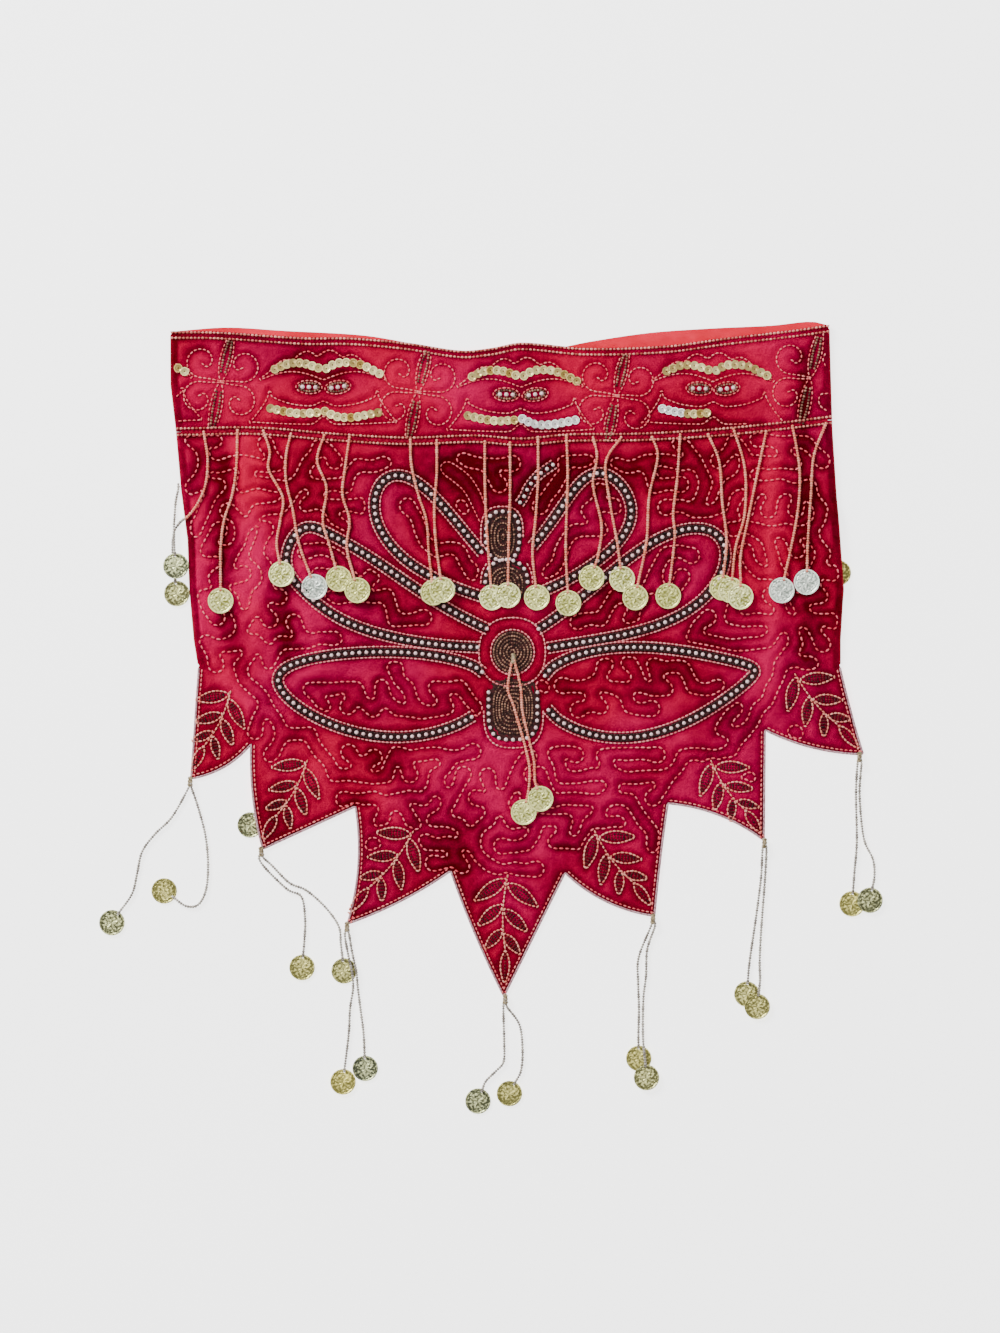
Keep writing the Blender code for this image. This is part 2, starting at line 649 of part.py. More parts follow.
def hang(piece, port, points, coin, hidden):
    """A string of beads from four points of its head, with a coin at its far end."""
    middle = Vector(coin)
    way = (middle - Vector(points[-1])).normalized()
    hole = middle - way * COIN_RADIUS
    places = curve_through([*points, hole - way * 0.8], STATION)
    string = len(places)
    places += [hole + way * 2 * COIN_RADIUS * part for part in COIN_STATIONS]
    halves = [BEAD_STRING / 2] * string
    halves += [COIN_RADIUS * math.sqrt(1 - (2 * part - 1) ** 2) for part in COIN_STATIONS]
    lows = [FLOOR] * len(places) if hidden else lay_along(places, halves)
    lows[string - 1:] = [max(lows[string - 1:])] * (len(places) - string + 1)
    rings = []
    for number, (place, half, low) in enumerate(zip(places, halves, lows)):
        heading = places[min(number + 1, len(places) - 1)] - places[number - 1]
        thickness = BEAD_STRING if number < string else COIN_THICKNESS
        if number:
            rings.append(ring_at(place, heading if number < string else way, half, low, low + thickness))
    first = len(piece.faces)
    sections(piece, rings, start=port)
    Piece.laid.append(BVHTree.FromPolygons(piece.points, piece.faces[first:]))


def stringed(name, line, width, thickness, strings, finish, hidden=False):
    """A strip along a line, from left to right, with a string of beads from its lower side at each place."""
    piece = Piece(name, finish)
    ports = sorted((points[0][0], number) for number, (points, _) in enumerate(strings))
    starts = {x - BEAD_STRING / 2: number for x, number in ports}
    stations = sorted([x - BEAD_STRING / 2 for x, _ in ports] + [x + BEAD_STRING / 2 for x, _ in ports])
    left, right = line[0][0], line[-1][0]
    between = [left, *stations, right]
    filled = []
    for a, b in zip(between, between[1:]):
        count = max(1, math.ceil((b - a) / STATION)) if a not in starts else 1
        filled += [a + (b - a) * step / count for step in range(count)]
    filled.append(right)
    places = [Vector((x, read(line, x))) for x in filled]
    lows = [FLOOR] * len(places) if hidden else lay_along(places, [width / 2] * len(places))
    rings = []
    for (x, drop), z in zip(places, lows):
        rings.append([(x, drop - width / 2, z), (x, drop + width / 2, z),
                      (x, drop + width / 2, z + thickness), (x, drop - width / 2, z + thickness)])
    numbers = [piece.add(ring) for ring in rings]
    doors = {}
    for place, (near, far) in enumerate(zip(numbers, numbers[1:])):
        for side in range(4):
            after = (side + 1) % 4
            if side == 1 and filled[place] in starts:
                doors[starts[filled[place]]] = [near[1], far[1], far[2], near[2]]
                continue
            piece.faces.append([near[side], near[after], far[after], far[side]])
    piece.faces += [numbers[0][::-1], numbers[-1]]
    piece.lay()
    for number, (points, coin) in enumerate(strings):
        hang(piece, doors[number], points, coin, hidden)
    return piece.finish_object()


def wing_line(side, x, drop, length, heading, root, tip, swell, place, bow):
    """The middle of the band round one wing, from its upper root round the tip to the lower."""
    angle = math.radians(heading)
    along = Vector((side * math.cos(angle), -math.sin(angle)))
    across = Vector((-side * math.sin(angle), -math.cos(angle)))
    upper, lower = [], []
    for step in range(41):
        part = math.sin(math.pi / 2 * step / 40)
        middle = Vector((x, drop)) + along * length * part + across * bow * 4 * part * (1 - part)
        half = root * (1 - part) + tip * part + swell * math.sin(math.pi * part ** place)
        half *= math.sqrt(1 - part ** 6)
        upper.append(middle + across * half)
        lower.append(middle - across * half)
    return [p for p in upper + lower[-2::-1] if clear_of_body(p)]


def clear_of_body(point):
    """Whether a wing's band through a point keeps clear of the butterfly's body."""
    reach = WING_BAND / 2 + WING_CLEAR
    return all(abs((point.x - x) / (half_width + reach)) ** squareness
               + abs((point.y - drop) / (half_height + reach)) ** squareness > 1
               for x, drop, half_width, half_height, squareness in BODY.values())


def wing(name, line, finish):
    """The raised band of beads round a wing, lying on the skirt."""
    piece = Piece(name, finish)
    places = curve_through(line, STATION)
    lows = lay_along(places, [WING_BAND / 2] * len(places))
    rings = []
    for number, (place, low) in enumerate(zip(places, lows)):
        way = places[min(number + 1, len(places) - 1)] - places[max(number - 1, 0)]
        rings.append(ring_at(place, way, WING_BAND / 2, low, low + WING_HEIGHT))
    sections(piece, rings)
    piece.lay()
    return piece.finish_object()


def pad(name, outline, finish):
    """A solid patch of beads for the butterfly's body, lying on the skirt."""
    piece = Piece(name, finish)
    spacing = 7.0
    left, right = min(p[0] for p in outline), max(p[0] for p in outline)
    columns = [left + spacing * (step + 0.5) for step in range(int((right - left) / spacing))]
    points = grid_inside(outline, columns, spacing, spacing * 0.4)
    heights = {}

    def low(x, drop):
        key = round(x, 3), round(drop, 3)
        if key not in heights:
            heights[key] = resting(x, drop, spacing * 0.5)
        return heights[key]

    wall(piece, outline, points,
         lambda x, drop: Vector((x, drop, low(x, drop) + BODY_HEIGHT)),
         lambda x, drop: Vector((x, drop, low(x, drop))))
    piece.lay()
    return piece.finish_object()


def oval(middle_x, middle_drop, half_width, half_height, squareness, count=20):
    """An oval of the plan, squarer as squareness rises."""
    points = []
    for step in range(count):
        angle = math.tau * step / count
        across, down = math.cos(angle), math.sin(angle)
        points.append((middle_x + half_width * math.copysign(abs(across) ** (2 / squareness), across),
                       middle_drop + half_height * math.copysign(abs(down) ** (2 / squareness), down)))
    return points


def main():
    for obj in list(bpy.data.objects):
        bpy.data.objects.remove(obj)
    crimson = material("crimson_georgette", (0.62, 0.01, 0.06), 0.45)
    gold = material("gold_beads", (0.80, 0.58, 0.36), 0.35, 0.7)
    pearl = material("pearl_and_bronze_beads", (0.32, 0.17, 0.14), 0.4, 0.3)
    cloth_piece("skirt", skirt_outline(), crimson)
    cloth_piece("waistband", band_outline(), crimson)
    for name, sizes in WINGS.items():
        wing(name, wing_line(*sizes), pearl)
    for name, sizes in BODY.items():
        pad(name, oval(*sizes), pearl)
    for name, (drop, strings) in TASSELS.items():
        head = ((strings[0][0][0][0] - 1.4, drop), (strings[-1][0][0][0] + 1.4, drop))
        stringed(name, head, 3.0, 2.0, strings, gold)
    seam = ((-219.0, seam_front(-219.0)), *SEAM_FRONT[1:-1], (220.0, seam_front(220.0)))
    stringed("front_fringe", seam, 4.0, STRIP_THICKNESS, FRONT_FRINGE, gold)
    for name, points, coin in (("back_tassel", BACK_STRING, BACK_COIN),
                               ("side_tassel_right", TUCKED_STRING, TUCKED_COIN)):
        x, drop = points[0]
        head = ((x - 2.0, drop - 1.0), (x + 2.0, drop - 1.0))
        stringed(name, head, 2.4, BEAD_STRING, ((points, coin),), gold, hidden=True)


main()
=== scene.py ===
"""Beaded belly dance hip scarf, dressed: crimson georgette with a coral lining, a wandering line of beads
sewn all over it, a butterfly of pearls, a waistband with sequin crescents, a fringe and coin tassels.

Tables are in millimetres on the plan of the laid garment: x runs to the right from the middle of the
longest point, drop runs from the top of the waistband towards the points, and z rises from the floor.
"""
import math
from collections import namedtuple

import bmesh
import bpy
import numpy as np
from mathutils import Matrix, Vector
from mathutils.bvhtree import BVHTree
from mathutils.geometry import delaunay_2d_cdt
from mathutils.kdtree import KDTree


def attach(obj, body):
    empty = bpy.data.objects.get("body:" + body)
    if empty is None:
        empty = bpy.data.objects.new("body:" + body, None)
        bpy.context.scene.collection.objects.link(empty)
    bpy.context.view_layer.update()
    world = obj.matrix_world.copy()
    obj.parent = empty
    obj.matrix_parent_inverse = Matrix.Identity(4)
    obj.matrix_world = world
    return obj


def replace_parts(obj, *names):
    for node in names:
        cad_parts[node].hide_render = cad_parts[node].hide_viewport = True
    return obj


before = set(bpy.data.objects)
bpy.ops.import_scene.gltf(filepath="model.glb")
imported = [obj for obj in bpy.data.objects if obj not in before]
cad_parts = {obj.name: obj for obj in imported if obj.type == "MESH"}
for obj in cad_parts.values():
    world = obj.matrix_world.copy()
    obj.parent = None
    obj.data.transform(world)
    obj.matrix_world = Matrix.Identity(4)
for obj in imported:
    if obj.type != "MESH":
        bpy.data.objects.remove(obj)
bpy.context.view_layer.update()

MM = 0.001

# Sizes of the garment
CLOTH = 1.2             # thickness of the beaded cloth with its lining
SEAM_GAP = 0.3
HALF_GIRTH = 224.0      # half of the loop, from side fold to side fold
FOLD_RADIUS = 2.2       # how far in from the edge a side fold is rounded
FOLD_RISE = 1.7         # the front stands this much higher at its side folds
FOLD_RISE_WIDTH = 9.0
FOLD_END = 226.4        # drop at which the side folds end and the first free points start
LAYER_LIFT = 1.7        # the front lies this much higher where the back is under it
SETTLE = 18.0           # width over which the front comes down to the floor past the back's hem
CENTRE_BACK = 0.0       # x of the join of the two ends, under the front
FRONT_MESH = 2.0        # spacing of the front's points
BACK_MESH = 6.0
ORIGIN_X = 8.92         # the plan's zero, seen from the middle of the whole garment
ORIGIN_Y = 260.43
FLOOR = 0.3             # strings and coins lie this high, just clear of the floor

# Kinds of beads: length along the line, thickness, pitch, unevenness, sides and rings of faces, and slot
Bead = namedtuple("Bead", "length thickness pitch uneven sides rings slot",
                  defaults=(0.10, 6, 4, "gold_beads"))
SEED_BEAD = Bead(3.0, 1.4, 4.0)
ROW_BEAD = Bead(2.2, 1.8, 2.6)
CLOSE_BEAD = Bead(2.6, 1.35, 2.8)
FINE_BEAD = Bead(2.5, 1.15, 3.1)
STRING_BEAD = Bead(1.9, 2.2, 1.7, 0.12)
DARK_BEAD = Bead(1.6, 1.8, 1.9, slot="pearl_beads")
FILL_BEAD = Bead(1.4, 1.25, 1.75, 0.3, slot="pearl_beads")
PEARL = Bead(2.7, 2.7, 4.7, 0.05, 10, 6, "pearl_beads")
LOZENGE_PEARL = Bead(3.0, 3.0, 4.4, 0.04, 10, 6, "pearl_beads")

# Sizes of coins, sequins and sewn rows
COIN_RADIUS = 8.7
COIN_THICKNESS = 0.7
HOLE_IN = 1.7           # from a coin's rim to the middle of its hole
HOLE_RADIUS = 0.8
STRING_IN = 1.2         # from a coin's rim to the end of its string
SEQUIN_RADIUS = 3.0
SEQUIN_PITCH = 4.7
WING_BAND = 5.6         # width of the band round a wing
WING_CLEAR = 1.6        # between a wing's band and the body
DARK_LINE = 1.95        # from the middle of a wing's band to its dark beads
GOLD_LINE = 3.7         # and to the gold beads on both sides
SEAM_ROWS = 2.2         # from the seam to the row of beads on each side
TOP_ROWS = (0.9, 4.6)   # from the waistband's top edge to its rows of beads
HEM_INSET = 2.2         # from the hem to its row of beads
PIPING = 1.7            # thickness of the hem's cord
CLEAR = 0.25            # between a string or coin and what it lies on
SEWN = 0.5              # from the cloth to the middle of a small bead sewn on it
KNOT_LIFT = 0.4         # how far a tassel's bound head is lifted over its strings
KNOT_SIDES = 10
# Along a tassel's bound head: x and radius
KNOT_PROFILE = ((-3.6, 0.4), (-3.2, 1.3), (-2.3, 1.9), (-1.3, 1.4), (-0.2, 1.9), (1.0, 1.5), (2.4, 2.1),
                (3.6, 0.9))

# drop, x of the left side fold, x of the right side fold
SIDE_FOLDS = (
    (-12.0, -226.4, 220.6),
    (34.0, -226.2, 221.9),
    (64.6, -222.6, 222.8),
    (105.4, -219.0, 225.4),
    (139.4, -214.6, 228.0),
    (173.4, -213.4, 230.4),
    (207.4, -210.4, 228.4),
    (226.4, -207.4, 228.5),
    (238.0, -214.5, 236.5),
    (266.0, -219.0, 252.0),
    (460.0, -219.0, 252.0),
)

# x, drop of the waistband's top edge on the front
WAIST_FRONT = (
    (-226.4, -2.4),
    (-194.5, -2.2),
    (-136.7, 1.6),
    (-105.4, 1.8),
    (-67.3, 5.0),
    (-29.2, 10.6),
    (-8.2, 8.8),
    (12.0, 5.2),
    (54.4, 8.8),
    (110.2, 7.2),
    (150.0, 2.0),
    (193.1, -3.0),
    (220.4, -6.8),
)

# x, drop of the waistband's top edge on the back, which shows past the front's at both sides
WAIST_BACK = (
    (-226.4, -2.4),
    (-189.0, -5.2),
    (-150.0, -3.0),
    (-95.2, 0.2),
    (-60.0, 6.0),
    (0.0, 15.0),
    (58.5, 4.4),
    (99.3, -1.6),
    (141.4, -4.6),
    (182.9, -6.6),
    (209.0, -9.2),
    (220.4, -6.8),
)

# x, drop of the seam between waistband and skirt on the front
SEAM_FRONT = (
    (-222.6, 66.0),
    (-168.0, 65.3),
    (-116.3, 69.4),
    (-67.3, 72.1),
    (-19.0, 70.7),
    (12.2, 72.8),
    (43.5, 70.0),
    (92.5, 69.4),
    (141.4, 66.6),
    (182.9, 62.6),
    (222.6, 57.8),
)

# x, drop, and the bow of the edge to the next corner: positive bows it to the left of the way there.
# The hem's corners on the front run from the notch in the left side fold to that in the right one.
FRONT_HEM = (
    (-207.4, 226.4, 0.0),
    (-212.8, 301.6, -4.4),
    (-172.0, 278.1, -2.6),
    (-163.9, 349.5, 0.0),
    (-101.0, 320.6, 4.6),
    (-106.5, 400.5, -2.8),
    (-36.3, 364.5, -1.5),
    (0.0, 449.8, 0.0),
    (41.5, 365.8, -5.4),
    (102.4, 395.2, 0.6),
    (111.5, 318.6, 5.0),
    (176.8, 343.6, 0.0),
    (177.5, 268.6, -3.9),
    (244.4, 285.2, 0.6),
    (228.5, 226.4, 0.0),
)

# The back carries on in the same steps, each point shorter than the last, and all under the front
BACK_POINTS = 3
BACK_FIRST = (56.0, 252.0)   # in from the side fold, and drop, of the first hidden point
BACK_STEP = (60.0, 48.0)
BACK_NOTCH = (6.0, 74.0)
BACK_END_DROP = 98.0

# x and drop at both ends of each main crease, its half width and its height
CREASES = (
    (-178.0, 78.0, -165.0, 153.0, 9.0, 2.2),
    (-165.0, 153.0, -172.0, 258.0, 9.0, 2.4),
    (-203.0, 112.0, -202.0, 205.0, 7.0, 1.7),
    (-139.0, 153.0, -131.0, 214.0, 8.0, 1.5),
    (183.0, 75.0, 181.6, 248.0, 8.0, 2.6),
    (204.0, 180.0, 209.0, 266.0, 7.0, 1.8),
    (-118.0, 275.0, -72.0, 328.0, 12.0, 1.4),
    (-50.0, 295.0, -16.0, 350.0, 12.0, 1.3),
    (65.0, 309.0, 92.0, 362.0, 11.0, 1.3),
    (160.0, 282.0, 168.0, 326.0, 8.0, 1.3),
    (1.0, 340.0, -2.0, 422.0, 8.0, 1.1),
    (-200.0, 34.0, -139.0, 48.0, 14.0, 1.2),
    (-98.0, 14.0, -30.0, 41.0, 12.0, 1.6),
    (38.0, 44.0, 99.0, 34.0, 14.0, 1.5),
    (133.0, 22.0, 196.0, 12.0, 12.0, 1.2),
)

# Strings that lie under the cloth and lift it: x and drop of their points, then of the coin
HIDDEN_LIFT = 2.5
HIDDEN_FLAT = 5.0
HIDDEN_FADE = 12.0
BACK_STRING = ((-151.0, 256.0), (-156.0, 284.0), (-165.0, 316.0))
BACK_COIN = (-172.7, 333.2)
TUCKED_STRING = ((223.0, 128.0), (226.0, 151.0))
TUCKED_COIN = (227.4, 161.8)

# side, x and drop of the middle of the root, length, heading in degrees up from level, half width at
# the root and at the tip, swell, place of the swell (1 is halfway) and bow of the middle line
WINGS = {
    "wing_lower_left": (-1, -15.5, 242.0, 138.3, 3.2, 12.8, 19.2, 13.6, 0.72, -6.0),
    "wing_outer_left": (-1, -14.8, 206.1, 145.5, 26.7, 7.1, 37.5, -6.2, 4.5, -9.1),
    "wing_inner_left": (-1, -9.0, 169.8, 101.4, 43.5, 10.7, 23.2, 4.6, 1.06, -6.0),
    "wing_inner_right": (1, 9.5, 169.8, 97.4, 45.5, 11.4, 30.5, -0.5, 2.7, -6.6),
    "wing_outer_right": (1, 27.0, 206.3, 138.0, 28.5, 7.3, 27.4, 6.9, 1.33, -4.8),
    "wing_lower_right": (1, 29.0, 243.4, 142.2, 6.1, 11.7, 10.7, 19.5, 0.71, -5.8),
}

# middle x and drop, half width, half height and squareness of each patch of the butterfly's body
BODY = {
    "butterfly_head": (2.6, 151.0, 12.0, 30.5, 3.0),
    "butterfly_thorax": (6.4, 214.2, 14.0, 14.0, 2.0),
    "butterfly_abdomen": (6.5, 258.6, 18.4, 20.2, 3.0),
}

# The same for the patches that the body's pearls are sewn on
BODY_PADS = (
    (-0.9, 136.5, 13.6, 18.9, 2.8),
    (1.7, 169.0, 16.8, 17.0, 2.2),
    (5.8, 215.7, 14.2, 14.8, 2.0),
    (6.3, 254.6, 19.2, 22.6, 3.0),
)
# Filled with beads: as above, then how many rings of them
BODY_FILLS = (
    (-0.9, 137.5, 7.8, 13.6, 2.4, 4),
    (1.7, 170.0, 11.0, 11.6, 2.2, 5),
    (5.8, 215.7, 12.8, 13.4, 2.0, 6),
    (6.1, 253.6, 13.2, 17.2, 2.8, 7),
)
# Lines on the body: the same of an oval, and which of its 49 places are beaded, from the right clockwise
BODY_PEARLS = (
    ((-0.9, 136.5, 11.4, 16.4, 2.8), slice(None)),
    ((1.7, 168.0, 14.4, 15.2, 2.2), slice(24, None)),
)
BODY_GOLD = (
    ((5.6, 215.6, 22.6, 23.4, 2.3), slice(None)),
    ((5.8, 215.7, 14.8, 15.4, 2.0), slice(None)),
    ((6.5, 256.6, 20.2, 24.2, 2.8), slice(25)),
    ((-1.3, 136.5, 14.4, 19.8, 2.8), slice(21, None)),
    ((1.9, 168.0, 17.6, 18.4, 2.2), slice(24, 30)),
    ((1.9, 168.0, 17.6, 18.4, 2.2), slice(43, None)),
)
ABDOMEN_CUP = (6.1, 255.0, 16.6, 20.2, 3.2)
CUP_ENDS = ((22.7, 243.0), (-10.5, 243.0))
# x and drop along the two feelers
RIGHT_FEELER = ((11.0, 114.0), (13.7, 110.0), (15.4, 106.0), (18.2, 101.4), (24.0, 95.0), (33.3, 88.4))
LEFT_FEELER = ((-11.6, 123.0), (-15.0, 110.0), (-22.6, 97.0), (-33.0, 88.6), (-39.0, 86.4),
               (-43.0, 89.4), (-41.0, 94.6), (-34.0, 100.0), (-26.0, 108.0), (-17.0, 126.0))

# Front fringe: the points of each string as x and drop, then the place of its coin's middle
FRONT_FRINGE = (
    (((-204.0, 66.0), (-201.3, 83.6), (-202.6, 101.3), (-208.1, 114.9), (-214.5, 123.4), (-220.4, 127.6),
      (-224.6, 135.0), (-225.4, 150.0)), (-222.6, 175.8)),
    (((-181.0, 65.0), (-181.6, 88.4), (-184.6, 108.8), (-190.1, 125.8), (-192.4, 144.8)), (-192.4, 180.7)),
    (((-163.5, 65.3), (-159.1, 79.2), (-159.8, 91.8), (-150.3, 110.4), (-151.9, 126.1), (-154.4, 141.4)),
     (-151.1, 162.7)),
    (((-144.8, 67.3), (-148.0, 82.3), (-148.0, 99.3), (-143.3, 119.7), (-139.4, 141.4)), (-128.7, 171.4)),
    (((-122.2, 68.3), (-126.9, 85.5), (-120.6, 104.0), (-123.1, 126.1), (-119.0, 141.4)), (-112.2, 165.9)),
    (((-105.0, 69.8), (-108.1, 91.8), (-109.7, 108.8), (-105.0, 125.8), (-106.8, 144.8)), (-99.5, 173.7)),
    (((-63.6, 71.4), (-62.9, 88.4), (-58.2, 108.8), (-52.7, 126.1), (-51.1, 147.9)), (-48.0, 175.2)),
    (((-45.7, 71.7), (-45.7, 94.9), (-47.3, 116.7), (-46.4, 140.1)), (-42.0, 173.4)),
    (((-13.0, 72.6), (-13.0, 98.3), (-12.0, 127.0), (-10.2, 153.7)), (-8.2, 178.5)),
    (((4.1, 73.4), (4.1, 109.8), (3.2, 138.4)), (2.6, 177.0)),
    (((23.1, 69.7), (23.1, 98.3), (21.4, 125.1), (19.4, 148.0)), (22.3, 178.5)),
    (((42.4, 68.7), (43.3, 94.5), (42.4, 125.1), (42.0, 148.0)), (43.7, 182.3)),
    (((60.5, 69.7), (63.2, 83.0), (60.5, 102.1), (66.2, 128.9), (64.3, 148.0)), (59.5, 165.1)),
    (((79.6, 69.7), (69.1, 86.9), (71.9, 113.6), (76.7, 140.3)), (80.2, 166.0)),
    (((100.6, 69.7), (104.4, 83.0), (98.6, 109.8), (96.8, 140.3)), (89.1, 178.5)),
    (((119.7, 67.8), (117.6, 98.3), (114.9, 121.2), (115.9, 138.4)), (111.5, 177.5)),
    (((138.7, 67.8), (146.3, 86.9), (148.2, 113.6), (151.1, 138.4)), (148.2, 171.8)),
    (((156.0, 64.0), (163.5, 90.7), (163.5, 121.2), (157.4, 144.0)), (154.0, 173.6)),
    (((178.0, 65.9), (172.0, 94.5), (165.4, 127.0), (160.8, 150.0)), (160.5, 178.0)),
    (((196.0, 62.1), (200.7, 90.7), (199.8, 117.4), (195.0, 144.2)), (188.4, 173.7)),
    (((218.5, 60.2), (210.3, 83.0), (208.4, 109.8), (206.4, 138.4)), (205.5, 168.0)),
)

# Tassels: the head's drop, then for each string its points and the place of its coin's middle
TASSELS = {
    "hem_tassel_1": (303.6, (
        (((-214.6, 308.0), (-225.8, 327.8), (-237.6, 339.7), (-246.2, 351.6), (-249.6, 366.5),
          (-253.0, 380.1)), (-266.7, 399.7)),
        (((-212.0, 309.0), (-207.1, 324.4), (-202.9, 341.4), (-201.3, 360.0), (-202.6, 377.0),
          (-207.9, 387.4), (-216.2, 388.4)), (-231.2, 378.1)),
    )),
    "hem_tassel_2": (351.3, (
        (((-166.6, 356.0), (-161.6, 363.4), (-147.4, 377.0), (-137.8, 382.0), (-135.3, 397.1),
          (-135.8, 412.0)), (-137.4, 430.2)),
        (((-163.4, 355.6), (-158.0, 360.6), (-146.0, 372.6), (-134.6, 377.6), (-121.5, 389.2),
          (-112.4, 402.2), (-111.0, 414.0)), (-108.8, 432.5)),
    )),
    "hem_tassel_3": (402.3, (
        (((-108.2, 408.0), (-106.4, 419.2), (-103.4, 432.5), (-102.6, 444.0), (-104.7, 458.1),
          (-105.6, 475.0)), (-109.5, 508.0)),
        (((-105.2, 408.0), (-103.4, 419.2), (-100.4, 432.5), (-99.4, 444.0), (-97.2, 461.5),
          (-95.5, 475.0)), (-94.4, 498.8)),
    )),
    "hem_tassel_4": (451.6, (
        (((-0.4, 456.6), (0.1, 479.4), (-0.2, 494.0), (-5.1, 500.3), (-12.4, 507.6)), (-17.7, 521.1)),
        (((2.2, 457.0), (10.5, 469.1), (12.6, 485.8), (11.6, 500.3)), (3.7, 515.9)),
    )),
    "hem_tassel_5": (397.0, (
        (((100.0, 402.0), (91.6, 423.3), (91.2, 440.0), (91.8, 458.0), (91.4, 476.0)), (91.7, 492.0)),
        (((102.6, 402.0), (97.4, 418.0), (96.6, 436.0), (94.8, 452.0), (94.6, 478.0)), (96.9, 504.9)),
    )),
    "hem_tassel_6": (345.4, (
        (((175.8, 350.6), (174.8, 369.2), (171.4, 396.2), (168.3, 417.1), (166.6, 430.0)), (165.2, 448.3)),
        (((178.4, 350.6), (177.6, 369.2), (174.8, 406.6), (173.9, 427.6), (174.2, 438.0)), (172.2, 456.6)),
    )),
    "hem_tassel_7": (286.9, (
        (((240.4, 292.4), (239.4, 312.9), (240.0, 344.1), (238.4, 365.0)), (236.8, 386.9)),
        (((243.0, 292.4), (241.9, 312.9), (244.7, 342.0), (251.0, 356.7), (252.0, 368.0)), (248.9, 384.4)),
    )),
    "centre_tassel": (220.0, (
        (((4.8, 225.0), (2.6, 240.6), (6.2, 251.3), (10.6, 266.3), (14.2, 279.0), (17.4, 295.0),
          (16.6, 310.0)), (13.4, 324.4)),
        (((8.0, 225.0), (11.4, 240.0), (12.6, 256.0), (17.0, 275.0), (20.4, 290.0), (21.0, 303.0)),
         (24.8, 315.2)),
    )),
    "side_tassel_left": (101.4, (
        (((-221.6, 105.0), (-223.4, 114.0), (-224.2, 128.0), (-224.2, 142.0)), (-223.0, 157.1)),
    )),
}

# Strings under the cloth, by the node that they stand for
HIDDEN_STRINGS = {
    "side_tassel_right": ((TUCKED_STRING, TUCKED_COIN),),
    "back_tassel": ((BACK_STRING, BACK_COIN),),
}
# x and drop of the coins that are silver
SILVER_COINS = ((-128.7, 171.4), (188.4, 173.7), (205.5, 168.0))

# Smaller creases that only the cloth shows: as CREASES
FINE_CREASES = (
    (-186.0, 150.0, -196.0, 236.0, 6.0, 0.9),
    (-150.0, 90.0, -146.0, 150.0, 6.0, 0.8),
    (-118.0, 84.0, -84.0, 128.0, 7.0, 0.7),
    (-70.0, 90.0, -20.0, 132.0, 8.0, 0.9),
    (30.0, 92.0, 66.0, 140.0, 8.0, 0.8),
    (96.0, 90.0, 128.0, 146.0, 7.0, 0.8),
    (140.0, 110.0, 160.0, 196.0, 8.0, 0.9),
    (206.0, 84.0, 203.0, 168.0, 5.0, 1.0),
    (-150.0, 226.0, -112.0, 268.0, 8.0, 0.8),
    (-96.0, 236.0, -48.0, 262.0, 8.0, 0.7),
    (58.0, 240.0, 110.0, 226.0, 8.0, 0.7),
    (120.0, 250.0, 168.0, 236.0, 8.0, 0.8),
    (-150.0, 292.0, -140.0, 330.0, 7.0, 0.7),
    (-88.0, 300.0, -60.0, 350.0, 8.0, 0.8),
    (-30.0, 300.0, 8.0, 332.0, 9.0, 0.9),
    (38.0, 318.0, 24.0, 372.0, 8.0, 0.8),
    (118.0, 280.0, 152.0, 316.0, 8.0, 0.8),
    (-222.0, 20.0, -176.0, 22.0, 8.0, 0.7),
    (-130.0, 56.0, -80.0, 50.0, 7.0, 0.6),
    (-14.0, 22.0, 20.0, 28.0, 9.0, 0.8),
    (86.0, 22.0, 124.0, 54.0, 9.0, 0.7),
    (176.0, 44.0, 214.0, 40.0, 8.0, 0.7),
)

